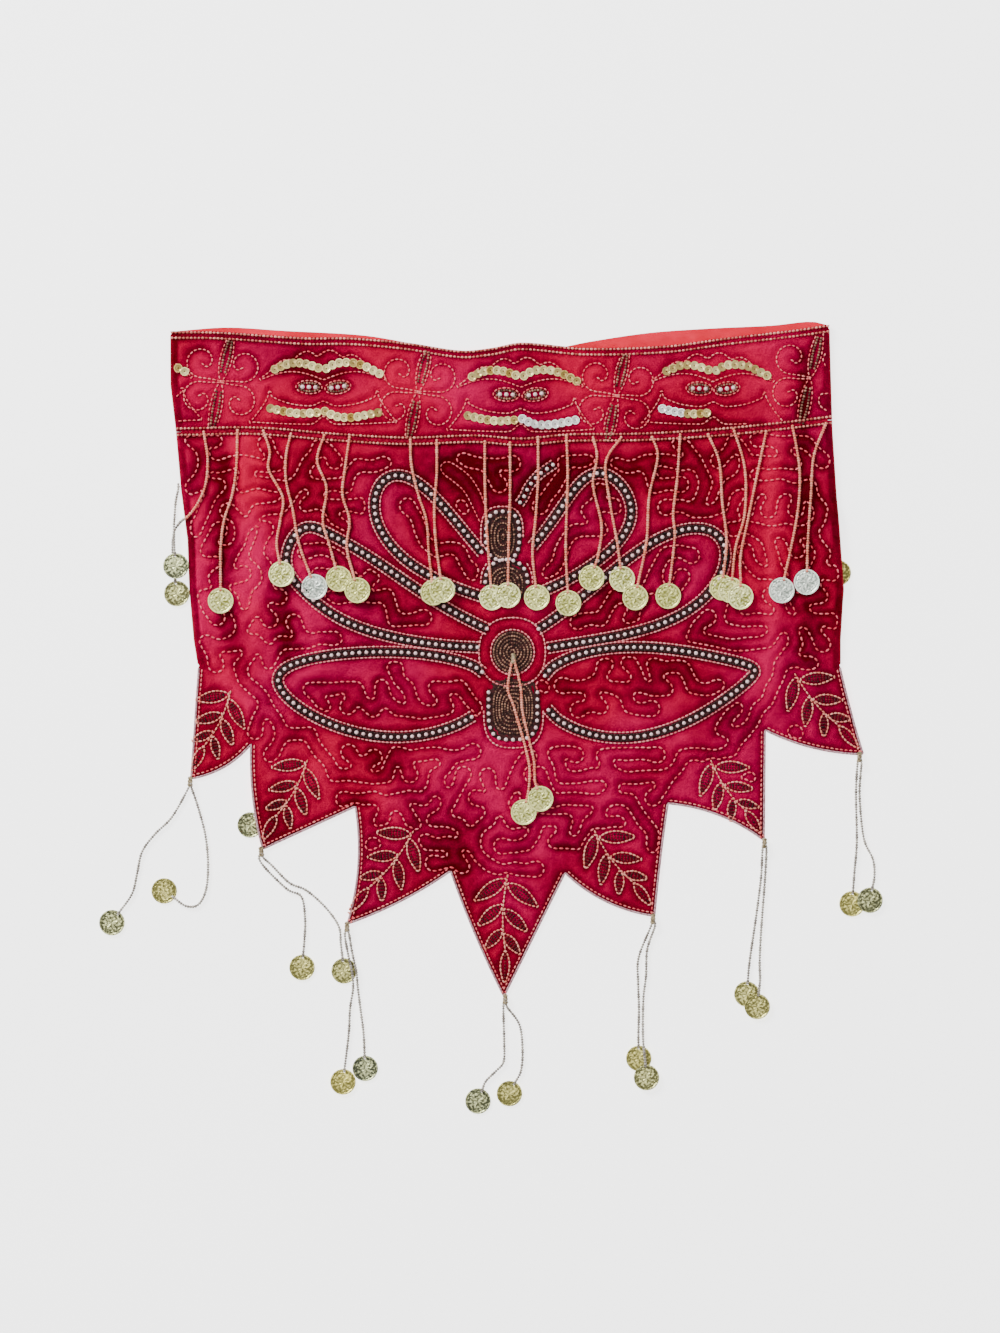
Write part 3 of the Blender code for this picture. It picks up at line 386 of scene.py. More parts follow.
# Painted highlights, and painted shade where a strength is below 0, mixed into the cloth's colour.
# Where the satin catches more light, or less: x and drop at both ends, reach and strength
GLEAMS = (
    (-80.0, 34.0, -36.0, 42.0, 24.0, 0.42),
    (48.0, 26.0, 62.0, 52.0, 16.0, 0.34),
    (-208.0, 34.0, -176.0, 46.0, 20.0, 0.34),
    (128.0, 34.0, 178.0, 30.0, 18.0, 0.30),
    (-142.0, 18.0, -96.0, 26.0, 12.0, -0.30),
    (-60.0, 94.0, 12.0, 100.0, 20.0, -0.42),
    (40.0, 98.0, 96.0, 92.0, 16.0, -0.30),
    (-172.7, 78.0, -169.0, 136.0, 9.0, 0.55),
    (-169.0, 136.0, -176.0, 173.0, 9.0, 0.55),
    (-176.0, 173.0, -159.0, 226.0, 9.0, 0.50),
    (-210.0, 119.0, -206.7, 187.0, 7.0, 0.50),
    (-206.7, 187.0, -186.0, 240.0, 7.0, 0.45),
    (-190.0, 86.0, -190.0, 200.0, 5.0, -0.34),
    (-128.5, 187.0, -128.0, 222.0, 8.0, 0.40),
    (-150.0, 130.0, -148.0, 230.0, 5.0, -0.26),
    (184.3, 14.0, 184.0, 238.0, 6.0, 0.50),
    (203.0, 14.0, 205.0, 220.0, 5.0, -0.42),
    (170.0, 240.0, 186.0, 268.0, 8.0, 0.30),
    (-120.0, 283.0, -128.0, 300.0, 8.0, 0.32),
    (-56.0, 288.0, -48.0, 294.0, 8.0, 0.34),
    (-84.0, 314.0, -76.0, 322.0, 9.0, 0.34),
    (-22.0, 298.0, -4.0, 318.0, 9.0, 0.34),
    (66.0, 250.0, 88.0, 262.0, 10.0, 0.22),
    (118.0, 252.0, 124.0, 276.0, 10.0, 0.20),
    (30.0, 330.0, 20.0, 360.0, 8.0, 0.24),
    (-30.0, 290.0, 50.0, 300.0, 26.0, 0.22),
    (0.0, 345.0, 0.0, 405.0, 18.0, 0.12),
    (168.0, 90.0, 168.0, 236.0, 10.0, 0.20),
    (98.0, 290.0, 150.0, 320.0, 26.0, 0.18),
    (-180.0, 262.0, -130.0, 300.0, 26.0, 0.10),
    (-40.0, 340.0, -20.0, 380.0, 10.0, -0.14),
)
# Painted shade: the cloth's colour is darkened where the wandering line encloses it.
ENCLOSED_SHADE = 0.14   # how much less light where the wandering line encloses the cloth

PUFF = 1.6              # how far the cloth stands up between the lines of beads
PUFF_REACH = 5.0        # and how far from a line it reaches that

# Wandering line: it runs round branches that join places this far apart, each place moved at random and
# each branch bent by parts of that. Then how far it keeps from a branch, how much more from a branch's
# free end, how far from other beadwork, and over how long a stretch its turns are rounded
BRANCH_SPACING = 17.5
BRANCH_SHIFT = 0.12
BRANCH_BEND = 0.16
BRANCH_CLEAR = 4.1
BRANCH_SWELL = 1.4
LINE_CLEAR = 3.0
LINE_ROUNDING = 4
ROW_PART = 0.87         # a row of branch ends follows the last by this part of their spacing
BLEND = 0.7             # over how much the outlines of branches that meet run together
PLAN_GRID = 1.5
PLAN_X = (-232.0, 262.0)
PLAN_DROP = (56.0, 456.0)

# Waistband: middle of each crescent pair as x and drop, and its size against the first
CRESCENTS = ((-255.0, 31.5, 1.0), (-122.7, 33.0, 1.0), (11.4, 38.0, 1.0), (142.1, 34.0, 0.96))
# x and drop of each two-leaf figure's joint
LEAF_PAIRS = ((-192.4, 32.0), (-58.5, 39.0), (76.2, 41.5), (208.0, 29.5))
CRESCENT_SPAN = 43.0    # half length of the upper crescent
CRESCENT_RISE = 15.5
SCALLOP = (17.0, 4.5)   # width and height of its scallops
HORNED_SPAN = 50.0      # half length of the lower, horned one
HORN_AT = 35.0
LOZENGES = ((-9.8, 2.0), (9.8, -8.0))   # x from a pair's middle and tilt of its two pearl lozenges
# Rows of sequins on a crescent pair, from its middle; the rows left on each pair; and by pair and row how
# many of its sequins are silver
SEQUIN_ROWS = (
    ((-33.0, -9.5), (-24.0, -13.2), (-14.0, -13.6), (-3.5, -10.5)),
    ((2.0, -10.0), (9.0, -13.6), (18.0, -14.0), (27.0, -12.0), (38.0, -6.5)),
    ((-36.0, 17.0), (-26.0, 19.2), (-16.0, 20.6), (-4.5, 20.0)),
    ((1.0, 19.0), (9.0, 22.6), (19.0, 23.2), (30.0, 21.4), (37.0, 20.0)),
)
ROWS_LEFT = ((1,), (0, 1, 2, 3), (0, 1, 2, 3), (0, 1, 2))
SILVER_SEQUINS = {(2, 3): 99, (3, 2): 4}

# Leaf sprigs: x and drop of the tip and of the top of the stem, and the size of the leaflets
SPRIGS = (
    (-212.2, 296.0, -186.0, 243.0, 0.92),
    (-163.9, 343.0, -134.0, 290.0, 0.92),
    (-105.5, 393.0, -62.0, 338.0, 0.96),
    (0.3, 441.0, 2.4, 368.0, 1.04),
    (100.0, 388.0, 62.0, 338.0, 0.98),
    (174.5, 338.0, 141.0, 290.0, 0.92),
    (241.0, 281.0, 198.0, 231.0, 0.94),
)
# place along the stem, length, width and angle from the stem of each pair of leaflets
LEAFLETS = (
    (0.03, 24.5, 8.4, 54.0),
    (0.27, 21.0, 7.4, 48.0),
    (0.50, 16.5, 6.2, 40.0),
)
LAST_LEAFLET = (0.70, 6.2)   # place of the last one and its width

# Bead finishes: plain colour, the two tones that they vary between, lowest roughness, its range, and gloss
BEAD_FINISHES = {
    "rose gold beads": ((0.8, 0.5, 0.3), (0.78, 0.06, 0.09), (1.0, 0.19, 0.23), 0.28, 0.2, 0.3),
    "gold beads": ((0.8, 0.6, 0.3), (0.80, 0.20, 0.14), (1.0, 0.44, 0.34), 0.28, 0.2, 0.3),
    "pale beads": ((0.9, 0.6, 0.5), (0.80, 0.15, 0.18), (1.0, 0.36, 0.37), 0.28, 0.2, 0.3),
    "row beads": ((0.8, 0.4, 0.3), (0.40, 0.07, 0.05), (1.0, 0.38, 0.30), 0.28, 0.2, 0.3),
    "figure beads": ((0.8, 0.3, 0.3), (0.80, 0.07, 0.09), (1.0, 0.26, 0.25), 0.28, 0.2, 0.3),
    "dark beads": ((0.08, 0.02, 0.02), (0.008, 0.003, 0.003), (0.06, 0.018, 0.018), 0.3, 0.2, 0.25),
    "bronze beads": ((0.3, 0.14, 0.08), (0.04, 0.014, 0.009), (0.50, 0.26, 0.17), 0.3, 0.2, 0.3),
    "maroon beads": ((0.15, 0.01, 0.02), (0.02, 0.002, 0.003), (0.18, 0.006, 0.013), 0.3, 0.2, 0.2),
}
# Thread finishes: plain colour, the two tones of its rows, roughness and gloss
THREAD_FINISHES = {
    "crimson tape": ((0.4, 0.01, 0.03), (0.14, 0.0, 0.008), (0.34, 0.0, 0.026), 0.6, 0.05),
    "dark thread": ((0.1, 0.02, 0.03), (0.014, 0.004, 0.004), (0.06, 0.012, 0.012), 0.6, 0.15),
    "grey thread": ((0.2, 0.14, 0.15), (0.34, 0.15, 0.18), (0.66, 0.42, 0.46), 0.6, 0.1),
    "gold thread": ((0.5, 0.4, 0.25), (0.14, 0.10, 0.05), (0.50, 0.40, 0.24), 0.5, 0.2),
}

LOOKS = {}              # the finishes, by name
TREES = {}              # the trees of geometry nodes, by name
LAID = []               # what strings and coins lie on


def smooth(t):
    """0 up to t = 0, 1 from t = 1, and an even curve between."""
    t = np.clip(t, 0.0, 1.0)
    return t * t * (3 - 2 * t)


def read(table, at, column=1):
    """A column's value where the table's first column reads at, on a smooth curve through its rows."""
    keys = np.array([row[0] for row in table], float)
    values = np.array([row[column] for row in table], float)
    slopes = np.diff(values) / np.diff(keys)
    inner = (values[2:] - values[:-2]) / (keys[2:] - keys[:-2])
    slopes = np.concatenate((slopes[:1], inner, slopes[-1:]))
    at = np.clip(at, keys[0], keys[-1])
    row = np.clip(np.searchsorted(keys, at, side="right") - 1, 0, len(keys) - 2)
    step = keys[row + 1] - keys[row]
    t = (at - keys[row]) / step
    return (values[row] * (1 + 2 * t) * (1 - t) ** 2 + values[row + 1] * t * t * (3 - 2 * t)
            + step * t * (1 - t) * (slopes[row] * (1 - t) - slopes[row + 1] * t))


def side_folds(drop):
    """x of the left and right side fold."""
    drops, left, right = np.array(SIDE_FOLDS).T
    return np.interp(drop, drops, left), np.interp(drop, drops, right)


def distance_to(x, drop, line):
    """How far places on the plan are from a line through points."""
    nearest = np.full(np.shape(x), np.inf)
    for (x0, drop0), (x1, drop1) in zip(line, line[1:]):
        way = np.array((x1 - x0, drop1 - drop0))
        along = np.clip(((x - x0) * way[0] + (drop - drop0) * way[1]) / (way @ way), 0.0, 1.0)
        away = np.hypot(x - x0 - along * way[0], drop - drop0 - along * way[1])
        nearest = np.minimum(nearest, away)
    return nearest


def hidden_lift(x, drop, line, coin):
    """How far a string and its coin, lying underneath, lift the cloth."""
    clear = np.minimum(distance_to(x, drop, line + (coin,)) - HIDDEN_FLAT,
                       np.hypot(x - coin[0], drop - coin[1]) - COIN_RADIUS - 1.0)
    return HIDDEN_LIFT * (1 - smooth(clear / HIDDEN_FADE))


def ridges(x, drop, table):
    """The heights, or strengths, of a table of soft ridges, added up at places on the front."""
    total = np.zeros(np.shape(x))
    for x0, drop0, x1, drop1, width, height in table:
        away = distance_to(x, drop, ((x0, drop0), (x1, drop1)))
        total += height * np.exp(-(away / width) ** 2)
    return total


def crease_height(x, drop):
    """How far the front's creases stand up."""
    return ridges(x, drop, CREASES + FINE_CREASES)


def back_height(x, drop):
    """z of the middle of the back's cloth."""
    return CLOTH / 2 + hidden_lift(x, drop, TUCKED_STRING, TUCKED_COIN)


def front_height(x, drop):
    """z of the middle of the front's cloth."""
    left, right = side_folds(drop)
    inwards = np.minimum(x - left, right - x)
    slope = BACK_STEP[1] / BACK_STEP[0]
    back_reach = np.minimum(BACK_FIRST[1] - slope * (inwards - BACK_FIRST[0]), BACK_FIRST[1])
    layer = LAYER_LIFT * (1 - smooth((drop - back_reach) / SETTLE))
    rise = FOLD_RISE * np.exp(-(inwards / FOLD_RISE_WIDTH) ** 2)
    rise *= 1 - smooth((drop - FOLD_END + SETTLE) / SETTLE)
    under = hidden_lift(x, drop, BACK_STRING, BACK_COIN)
    tucked = hidden_lift(x, drop, TUCKED_STRING, TUCKED_COIN)
    return CLOTH / 2 + np.maximum(layer, under) + tucked + rise + crease_height(x, drop)


def front_top(x, drop):
    """z of the face that the beads are sewn on."""
    return front_height(x, drop) + CLOTH / 2


def girth_of(x, drop, back=False):
    """How far round the loop a place is: 0 at the centre front, past HALF_GIRTH on the back."""
    left, right = side_folds(drop)
    if not back:
        return ((x - left) / (right - left) * 2 - 1) * HALF_GIRTH
    side = np.where(x < CENTRE_BACK, -1, 1)
    fold = np.where(x < CENTRE_BACK, left, right)
    return side * (HALF_GIRTH + np.abs(x - fold) / np.abs(CENTRE_BACK - fold) * HALF_GIRTH)


def cloth_points(girth, drop, out):
    """The places in space of points of the cloth, out of the middle of its wall by out."""
    left, right = side_folds(drop)
    side = np.where(girth < 0, -1, 1)
    fold = np.where(girth < 0, left, right)
    past = np.abs(girth) - HALF_GIRTH
    width = np.where(past < 0, (right - left) / 2, np.abs(CENTRE_BACK - fold))
    inwards = np.abs(past) / HALF_GIRTH * width
    turn = np.where(past < 0, 1, -1) * np.pi / 2 * np.minimum(inwards / FOLD_RADIUS, 1.0)
    x = fold - side * np.where(inwards < FOLD_RADIUS, FOLD_RADIUS * (1 - np.cos(turn)), inwards)
    top, bottom = front_height(x, drop), back_height(x, drop)
    half = (top - bottom) / 2
    across, up = side * np.cos(turn) * half, np.sin(turn) * FOLD_RADIUS
    length = np.hypot(across, up)
    z = (top + bottom) / 2 + half * np.sin(turn)
    return np.stack((x + across / length * out, drop, z + up / length * out), axis=1)


def in_metres(points):
    """Places on the plan, in the row frame, in metres."""
    points = np.asarray(points, float).reshape(-1, 3)
    return np.stack((points[:, 0] + ORIGIN_X, ORIGIN_Y - points[:, 1], points[:, 2]), axis=1) * MM


def bowed(start, end, bow, spacing):
    """Points from start up to but not with end, on an arc that bows to the left of the way there."""
    a, b = np.array(start, float), np.array(end, float)
    way = b - a
    left = np.array((way[1], -way[0])) / np.hypot(*way)
    t = np.arange(max(1, round(np.hypot(*way) / spacing)))[:, None]
    t = t / len(t)
    return a + way * t + left * bow * 4 * t * (1 - t)


def girth_columns():
    """The girths at which the cloth has a column of points: close at the folds, wide on the back."""
    steps = round(HALF_GIRTH / FRONT_MESH)
    front = HALF_GIRTH * np.arange(steps) / steps
    fold = HALF_GIRTH + np.array((-1.0, -0.5, 0.0, 0.5, 1.0)) * FOLD_RADIUS
    steps = round(HALF_GIRTH / BACK_MESH)
    back = HALF_GIRTH * (1 + (np.arange(steps) + 0.5) / steps)
    half = np.concatenate((front, fold, back))
    return np.unique(np.concatenate((-half, half)).round(4))


def level_edge(front_drop, back_drop):
    """A level edge all round the loop, from the left end at the centre back, as girth and drop."""
    ends = 2 * HALF_GIRTH - SEAM_GAP / 2
    girths = np.concatenate(([-ends], girth_columns(), [ends]))
    drops = np.zeros(len(girths))
    for _ in range(3):
        x = cloth_points(girths, drops, 0)[:, 0]
        drops = np.where(np.abs(girths) <= HALF_GIRTH, front_drop(x), back_drop(x))
    return np.stack((girths, drops), axis=1)


def seam_front(x):
    """Drop of the seam on the front."""
    return read(SEAM_FRONT, x)


def seam_back(x):
    """The seam runs straight across the back."""
    left, right = SEAM_FRONT[0], SEAM_FRONT[-1]
    return left[1] + (right[1] - left[1]) * (x - left[0]) / (right[0] - left[0])


def back_hem(side):
    """The hidden hem on one side, from the side fold to the centre back, as girth and drop."""
    fold = side_folds(FOLD_END)[0 if side < 0 else 1]
    corners = [(side * HALF_GIRTH, FOLD_END)]
    for number in range(BACK_POINTS):
        tip_x = fold - side * (BACK_FIRST[0] + BACK_STEP[0] * number)
        tip_drop = BACK_FIRST[1] - BACK_STEP[1] * number
        corners.append((girth_of(tip_x, tip_drop, back=True), tip_drop))
        notch_x, notch_drop = tip_x - side * BACK_NOTCH[0], tip_drop - BACK_NOTCH[1]
        corners.append((girth_of(notch_x, notch_drop, back=True), notch_drop))
    corners.append((side * (2 * HALF_GIRTH - SEAM_GAP / 2), BACK_END_DROP))
    rows = [bowed(start, end, 0.0, BACK_MESH) for start, end in zip(corners, corners[1:])]
    return np.concatenate(rows + [[corners[-1]]])[1:]


def front_hem():
    """The hem across the front on the plan, from the left side fold to the right one."""
    corners = zip(FRONT_HEM, FRONT_HEM[1:])
    rows = [bowed(start[:2], end[:2], start[2], FRONT_MESH) for start, end in corners]
    return np.concatenate(rows + [[FRONT_HEM[-1][:2]]])


def skirt_outline():
    """The skirt's flat cut, as girth and drop: its seam, then its hem back from right to left."""
    top = level_edge(lambda x: seam_front(x) + SEAM_GAP / 2, lambda x: seam_back(x) + SEAM_GAP / 2)
    hem = front_hem()
    hem[:, 0] = girth_of(hem[:, 0], hem[:, 1])
    hem[0, 0], hem[-1, 0] = -HALF_GIRTH, HALF_GIRTH
    return np.concatenate((top, back_hem(1)[::-1], hem[::-1], back_hem(-1)))


def band_outline():
    """The waistband's flat cut: its top edge, then the seam back from right to left."""
    top = level_edge(lambda x: read(WAIST_FRONT, x), lambda x: read(WAIST_BACK, x))
    seam = level_edge(lambda x: seam_front(x) - SEAM_GAP / 2, lambda x: seam_back(x) - SEAM_GAP / 2)
    return np.concatenate((top, seam[::-1]))


def inside(points, outline):
    """Whether each point lies within an outline."""
    found = np.zeros(len(points), bool)
    x, y = points.T
    for (x0, y0), (x1, y1) in zip(outline, np.roll(outline, -1, axis=0)):
        if y0 != y1:
            found ^= ((y0 > y) != (y1 > y)) & (x < (x1 - x0) * (y - y0) / (y1 - y0) + x0)
    return found


def nearest_in(places, queries):
    """How far each query is from the nearest of some places, on the plan."""
    tree = KDTree(len(places))
    for number, (x, drop) in enumerate(places):
        tree.insert((x, drop, 0.0), number)
    tree.balance()
    return np.array([tree.find((x, drop, 0.0))[2] for x, drop in queries])


def grid_inside(outline, columns, spacing):
    """Points in staggered columns within an outline, none close to it."""
    points = []
    for number, column in enumerate(columns):
        start = outline[:, 1].min() + spacing * (0.25 + number % 2 / 2)
        rows = np.arange(start, outline[:, 1].max(), spacing)
        points.append(np.stack((np.full(len(rows), column), rows), axis=1))
    points = np.concatenate(points)
    points = points[inside(points, outline)]
    return points[nearest_in(outline, points) > spacing * 0.6]


def new_piece(name, mesh, *looks):
    """An object for a mesh, riding on the one body."""
    for look in looks:
        mesh.materials.append(LOOKS[look])
    piece = bpy.data.objects.new(name, mesh)
    bpy.context.scene.collection.objects.link(piece)
    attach(piece, "root")
    return piece


def store(mesh, name, values, kind="FLOAT"):
    """Keeps a number for each point of a mesh, for its finish to read."""
    made = mesh.attributes.new(name, kind, "POINT")
    field = "vector" if kind == "FLOAT_VECTOR" else "value"
    made.data.foreach_set(field, np.asarray(values, np.float32).ravel())


def turn_out(mesh, as_one=False):
    """Turns a closed mesh's faces out: each on its own or, on a thin wall that is already even, as one."""
    shell = bmesh.new()
    shell.from_mesh(mesh)
    if not as_one:
        bmesh.ops.recalc_face_normals(shell, faces=shell.faces)
    elif shell.calc_volume(signed=True) < 0:
        bmesh.ops.reverse_faces(shell, faces=shell.faces)
    shell.to_mesh(mesh)
    shell.free()


def doubled(top, bottom, triangles):
    """A closed body between two sheets of the same triangles: its points and faces."""
    count = len(top)
    faces = [list(t) for t in triangles] + [[c + count for c in reversed(t)] for t in triangles]
    edges = {(a, b) for t in triangles for a, b in zip(t, [*t[1:], t[0]])}
    faces += [[b, a, a + count, b + count] for a, b in sorted(edges) if (b, a) not in edges]
    return np.concatenate((top, bottom)), faces


def flat_triangles(outline):
    """A flat cut filled with points, close on the front: their girths and drops, and the triangles."""
    columns = girth_columns()
    front = np.abs(columns) < HALF_GIRTH + FOLD_RADIUS + 1
    points = np.concatenate((outline, grid_inside(outline, columns[front], FRONT_MESH),
                             grid_inside(outline, columns[~front], BACK_MESH)))
    loop = list(range(len(outline)))[::-1]
    flat, _, triangles, *_ = delaunay_2d_cdt([Vector((x, -y)) for x, y in points], [], [loop], 1, 1e-5)
    girth, drop = np.array([(p.x, -p.y) for p in flat]).T
    return girth, drop, triangles


def cloth_piece(name, outline, sewn_places, enclosed):
    """A piece of the loop's cloth with its lining, puffed up between the lines of beads, with painted shade
    at the places that the wandering line encloses and painted highlights where it puffs and on its creases."""
    girth, drop, triangles = flat_triangles(outline)
    middle = cloth_points(girth, drop, 0)
    x, plan = middle[:, 0], middle[:, :2]
    on_front = np.abs(girth) < HALF_GIRTH - 2 * FOLD_RADIUS
    puff = np.where(on_front, smooth(nearest_in(sewn_places, plan) / PUFF_REACH), 0.0)
    uneven = 0.75 + 0.25 * np.sin(x / 9.0 + np.sin(drop / 13.0) * 2)
    outer = cloth_points(girth, drop, CLOTH / 2 + PUFF * puff * uneven)
    inner = cloth_points(girth, drop, np.full(len(girth), -CLOTH / 2))
    places, faces = doubled(outer, inner, triangles)
    looks = np.zeros(len(faces), int)
    looks[len(triangles):2 * len(triangles)] = 1
    mesh = bpy.data.meshes.new(name)
    mesh.from_pydata(in_metres(places).tolist(), [], faces)
    mesh.polygons.foreach_set("material_index", looks.tolist())
    mesh.polygons.foreach_set("use_smooth", [len(face) == 3 for face in faces])
    # puff and lift also brighten the cloth's colour: painted highlights where it puffs up and on its creases.
    lift = np.where(on_front, np.clip(crease_height(x, drop) / 2.4, 0, 1), 0.3)
    within = smooth((BRANCH_CLEAR + 1.0 - nearest_in(enclosed, plan)) / 2.5)
    # light: the painted highlights and shade of GLEAMS, less painted shade where the wandering line encloses.
    light = np.where(on_front, ridges(x, drop, GLEAMS) - ENCLOSED_SHADE * within, 0.0)
    for field, values in (("puff", puff), ("lift", lift), ("gleam", light)):
        store(mesh, field, np.concatenate((values, np.zeros(len(girth)))))
    corners = np.empty(len(mesh.loops), int)
    mesh.loops.foreach_get("vertex_index", corners)
    flat_places = np.tile(np.stack((girth, drop), axis=1) * MM, (2, 1))
    layer = mesh.uv_layers.new(name="cloth")
    layer.data.foreach_set("uv", flat_places[corners].astype(np.float32).ravel())
    turn_out(mesh, as_one=True)
    return new_piece(name, mesh, "crimson georgette", "coral lining")


def through(points, spacing=1.0):
    """Places along a smooth curve through points of the plan, evenly spaced."""
    rows = np.array(points, float)
    padded = np.concatenate(([rows[0] * 2 - rows[1]], rows, [rows[-1] * 2 - rows[-2]]))
    t = (np.arange(12) / 12)[:, None]
    fine = []
    for a, b, c, d in zip(padded, padded[1:], padded[2:], padded[3:]):
        fine.append(0.5 * (2 * b + (c - a) * t + (2 * a - 5 * b + 4 * c - d) * t * t
                           + (3 * b - a - 3 * c + d) * t ** 3))
    return evenly(np.concatenate(fine + [rows[-1:]]), spacing)


def evenly(line, spacing):
    """A line's places again, evenly spaced."""
    line = np.asarray(line, float)
    lengths = np.concatenate(([0.0], np.cumsum(np.hypot(*np.diff(line[:, :2], axis=0).T))))
    at = np.linspace(0, lengths[-1], max(2, round(lengths[-1] / spacing) + 1))
    return np.stack([np.interp(at, lengths, column) for column in line.T], axis=1)


def closed(line):
    """A line that comes back to its first place."""
    return np.concatenate((line, line[:1]))


def beside(line, away):
    """The line that runs beside another one at a distance."""
    way = np.gradient(np.asarray(line, float), axis=0)
    way /= np.maximum(np.hypot(*way.T), 1e-9)[:, None]
    return line + np.stack((-way[:, 1], way[:, 0]), axis=1) * away


def on_cloth(line, up=SEWN):
    """A line of the plan laid on the front, as x, drop and z."""
    x, drop = np.asarray(line, float).T
    return np.stack((x, drop, front_top(x, drop) + up), axis=1)


def lines_mesh(name, lines):
    """A mesh of points and edges only, from lines of places; one that comes back to its start is closed."""
    points, edges = [], []
    for line in lines:
        first = len(points)
        back = np.linalg.norm(line[0] - line[-1]) < 0.01
        kept = line[:-1] if back else line
        points += list(in_metres(kept))
        edges += [(first + n, first + n + 1) for n in range(len(kept) - 1)]
        if back:
            edges.append((first + len(kept) - 1, first))
    mesh = bpy.data.meshes.new(name)
    mesh.from_pydata([tuple(p) for p in points], edges, [])
    return mesh


def wing_line(side, x, drop, length, heading, root, tip, swell, place, bow):
    """The middle of the band round one wing, from its upper root round the tip to the lower."""
    angle = math.radians(heading)
    along = np.array((side * math.cos(angle), -math.sin(angle)))
    across = np.array((-side * math.sin(angle), -math.cos(angle)))
    part = np.sin(np.pi / 2 * np.arange(41) / 40)[:, None]
    middle = np.array((x, drop)) + along * length * part + across * bow * 4 * part * (1 - part)
    half = root * (1 - part) + tip * part + swell * np.sin(np.pi * part ** place)
    half = half * np.sqrt(1 - part ** 6)
    line = np.concatenate((middle + across * half, (middle - across * half)[-2::-1]))
    return through(line[clear_of_body(line)])


def clear_of_body(points):
    """Whether a wing's band through each point keeps clear of the butterfly's body."""
    reach = WING_BAND / 2 + WING_CLEAR
    clear = np.ones(len(points), bool)
    for x, drop, half_width, half_height, squareness in BODY.values():
        clear &= (np.abs((points[:, 0] - x) / (half_width + reach)) ** squareness
                  + np.abs((points[:, 1] - drop) / (half_height + reach)) ** squareness) > 1
    return clear


def oval(x, drop, half_width, half_height, squareness=2.0, count=48):
    """A closed oval of the plan, squarer as squareness rises."""
    angle = np.linspace(0, math.tau, count + 1)
    across, down = np.cos(angle), np.sin(angle)
    return np.stack((x + half_width * np.sign(across) * np.abs(across) ** (2 / squareness),
                     drop + half_height * np.sign(down) * np.abs(down) ** (2 / squareness)), axis=1)


def turned(line, angle, x, drop):
    """A line turned about the plan's zero, clockwise in degrees as seen, and moved."""
    a = math.radians(angle)
    line = np.asarray(line, float)
    return np.stack((line[:, 0] * math.cos(a) - line[:, 1] * math.sin(a) + x,
                     line[:, 0] * math.sin(a) + line[:, 1] * math.cos(a) + drop), axis=1)


def leaflet(length, width):
    """A pointed oval from the plan's zero down to its tip, as a closed line."""
    t = np.linspace(0, 1, 13)
    half = width / 2 * np.sin(np.pi * t ** 0.85) ** 0.8
    right, left = np.stack((half, t * length), axis=1), np.stack((-half, t * length), axis=1)
    return np.concatenate((right, left[-2::-1]))


def sprig(tip_x, tip_drop, top_x, top_drop, scale):
    """A fern-like sprig that points to a tip of the hem: its outlines, then the lines of dark beads in it."""
    along = np.array((tip_x - top_x, tip_drop - top_drop))
    length = np.hypot(*along)
    lean = math.degrees(math.atan2(-along[0], along[1]))
    bow = 2.5 if tip_x < 0 else -2.5
    t = np.linspace(0, 1, 9)
    last, last_width = LAST_LEAFLET
    stem = np.stack((bow * np.sin(np.pi * t), t * length * last), axis=1)
    gold, dark = [stem], []
    for place, size, width, angle in LEAFLETS:
        size, width = size * scale, width * scale
        x, drop = np.interp(place, t * last, stem[:, 0]), place * length
        for side in (-1, 1):
            joint = (-side * angle, x + side * 0.8, drop + (1 + side) * 1.5)
            gold.append(turned(leaflet(size, width), *joint))
            for row in (-1, 0, 1):
                vein = [(row * 0.8, size * 0.16), (row * width * 0.24, size * 0.5), (row * 0.6, size * 0.84)]
                dark.append(turned(through(vein), *joint))
    rest = length * (1 - last)
    gold.append(turned(leaflet(rest, last_width), 0, 0, last * length))
    dark.append(turned([(0.0, 3.0), (0.0, rest - 4)], 0, 0, last * length))
    return [[turned(line, lean, top_x, top_drop) for line in lines] for lines in (gold, dark)]


def upper_crescent():
    """A bow with scallops along its top, about the plan's zero, as a closed line."""
    t = np.linspace(-1, 1, 61)
    x = t * CRESCENT_SPAN
    width, height = SCALLOP
    bumps = height * np.abs(np.sin(np.pi * (x + 3.9) / width)) * (1 - t * t)
    top = -2.6 - CRESCENT_RISE * (1 - np.abs(t) ** 2.5) - bumps
    bottom = -2.3 - 5.6 * np.sin(np.pi * np.abs(t))
    return np.concatenate((np.stack((x, top), axis=1), np.stack((x, bottom), axis=1)[::-1]))


def horned_crescent():
    """A low double bow with a horn near each end, about the plan's zero, as a closed line."""
    x = np.linspace(-HORN_AT, HORN_AT, 41)
    top = 15.6 - 3.4 * np.exp(-(x / 5.0) ** 2) - 6.6 * np.abs(x / HORN_AT) ** 3
    inner = np.stack((x, top), axis=1)
    t = np.linspace(0, 1, 9)
    flank = np.stack((HORN_AT + 2.5 + (HORNED_SPAN - HORN_AT - 2.5) * t,
                      8.5 + 18.0 * t ** 0.8), axis=1)
    horn = np.array(((HORN_AT + 1.5, 4.5),))
    right = np.concatenate((horn, flank))
    left = right[::-1] * (-1, 1)
    low = np.linspace(HORNED_SPAN, -HORNED_SPAN, 41)
    bottom = 28.0 - 5.5 * np.exp(-(low / 4.5) ** 2) - 1.8 * np.abs(low / HORNED_SPAN) ** 2
    return closed(np.concatenate((left, inner, right, np.stack((low, bottom), axis=1)[1:-1])))


def curl(side, up):
    """A tendril from a joint: out to one side, then round into a small spiral."""
    angle = np.radians(np.linspace(0, 330, 34))
    radius = 10.5 * (1 - np.linspace(0, 1, 34) ** 2.2) ** 0.6 * 0.86 + 1.4
    x = 14.0 + radius * np.sin(angle)
    drop = -11.8 + radius * np.cos(angle)
    line = np.concatenate((((1.5, -0.6), (7.0, -1.2)), np.stack((x, drop), axis=1)))
    return line * (side, up)


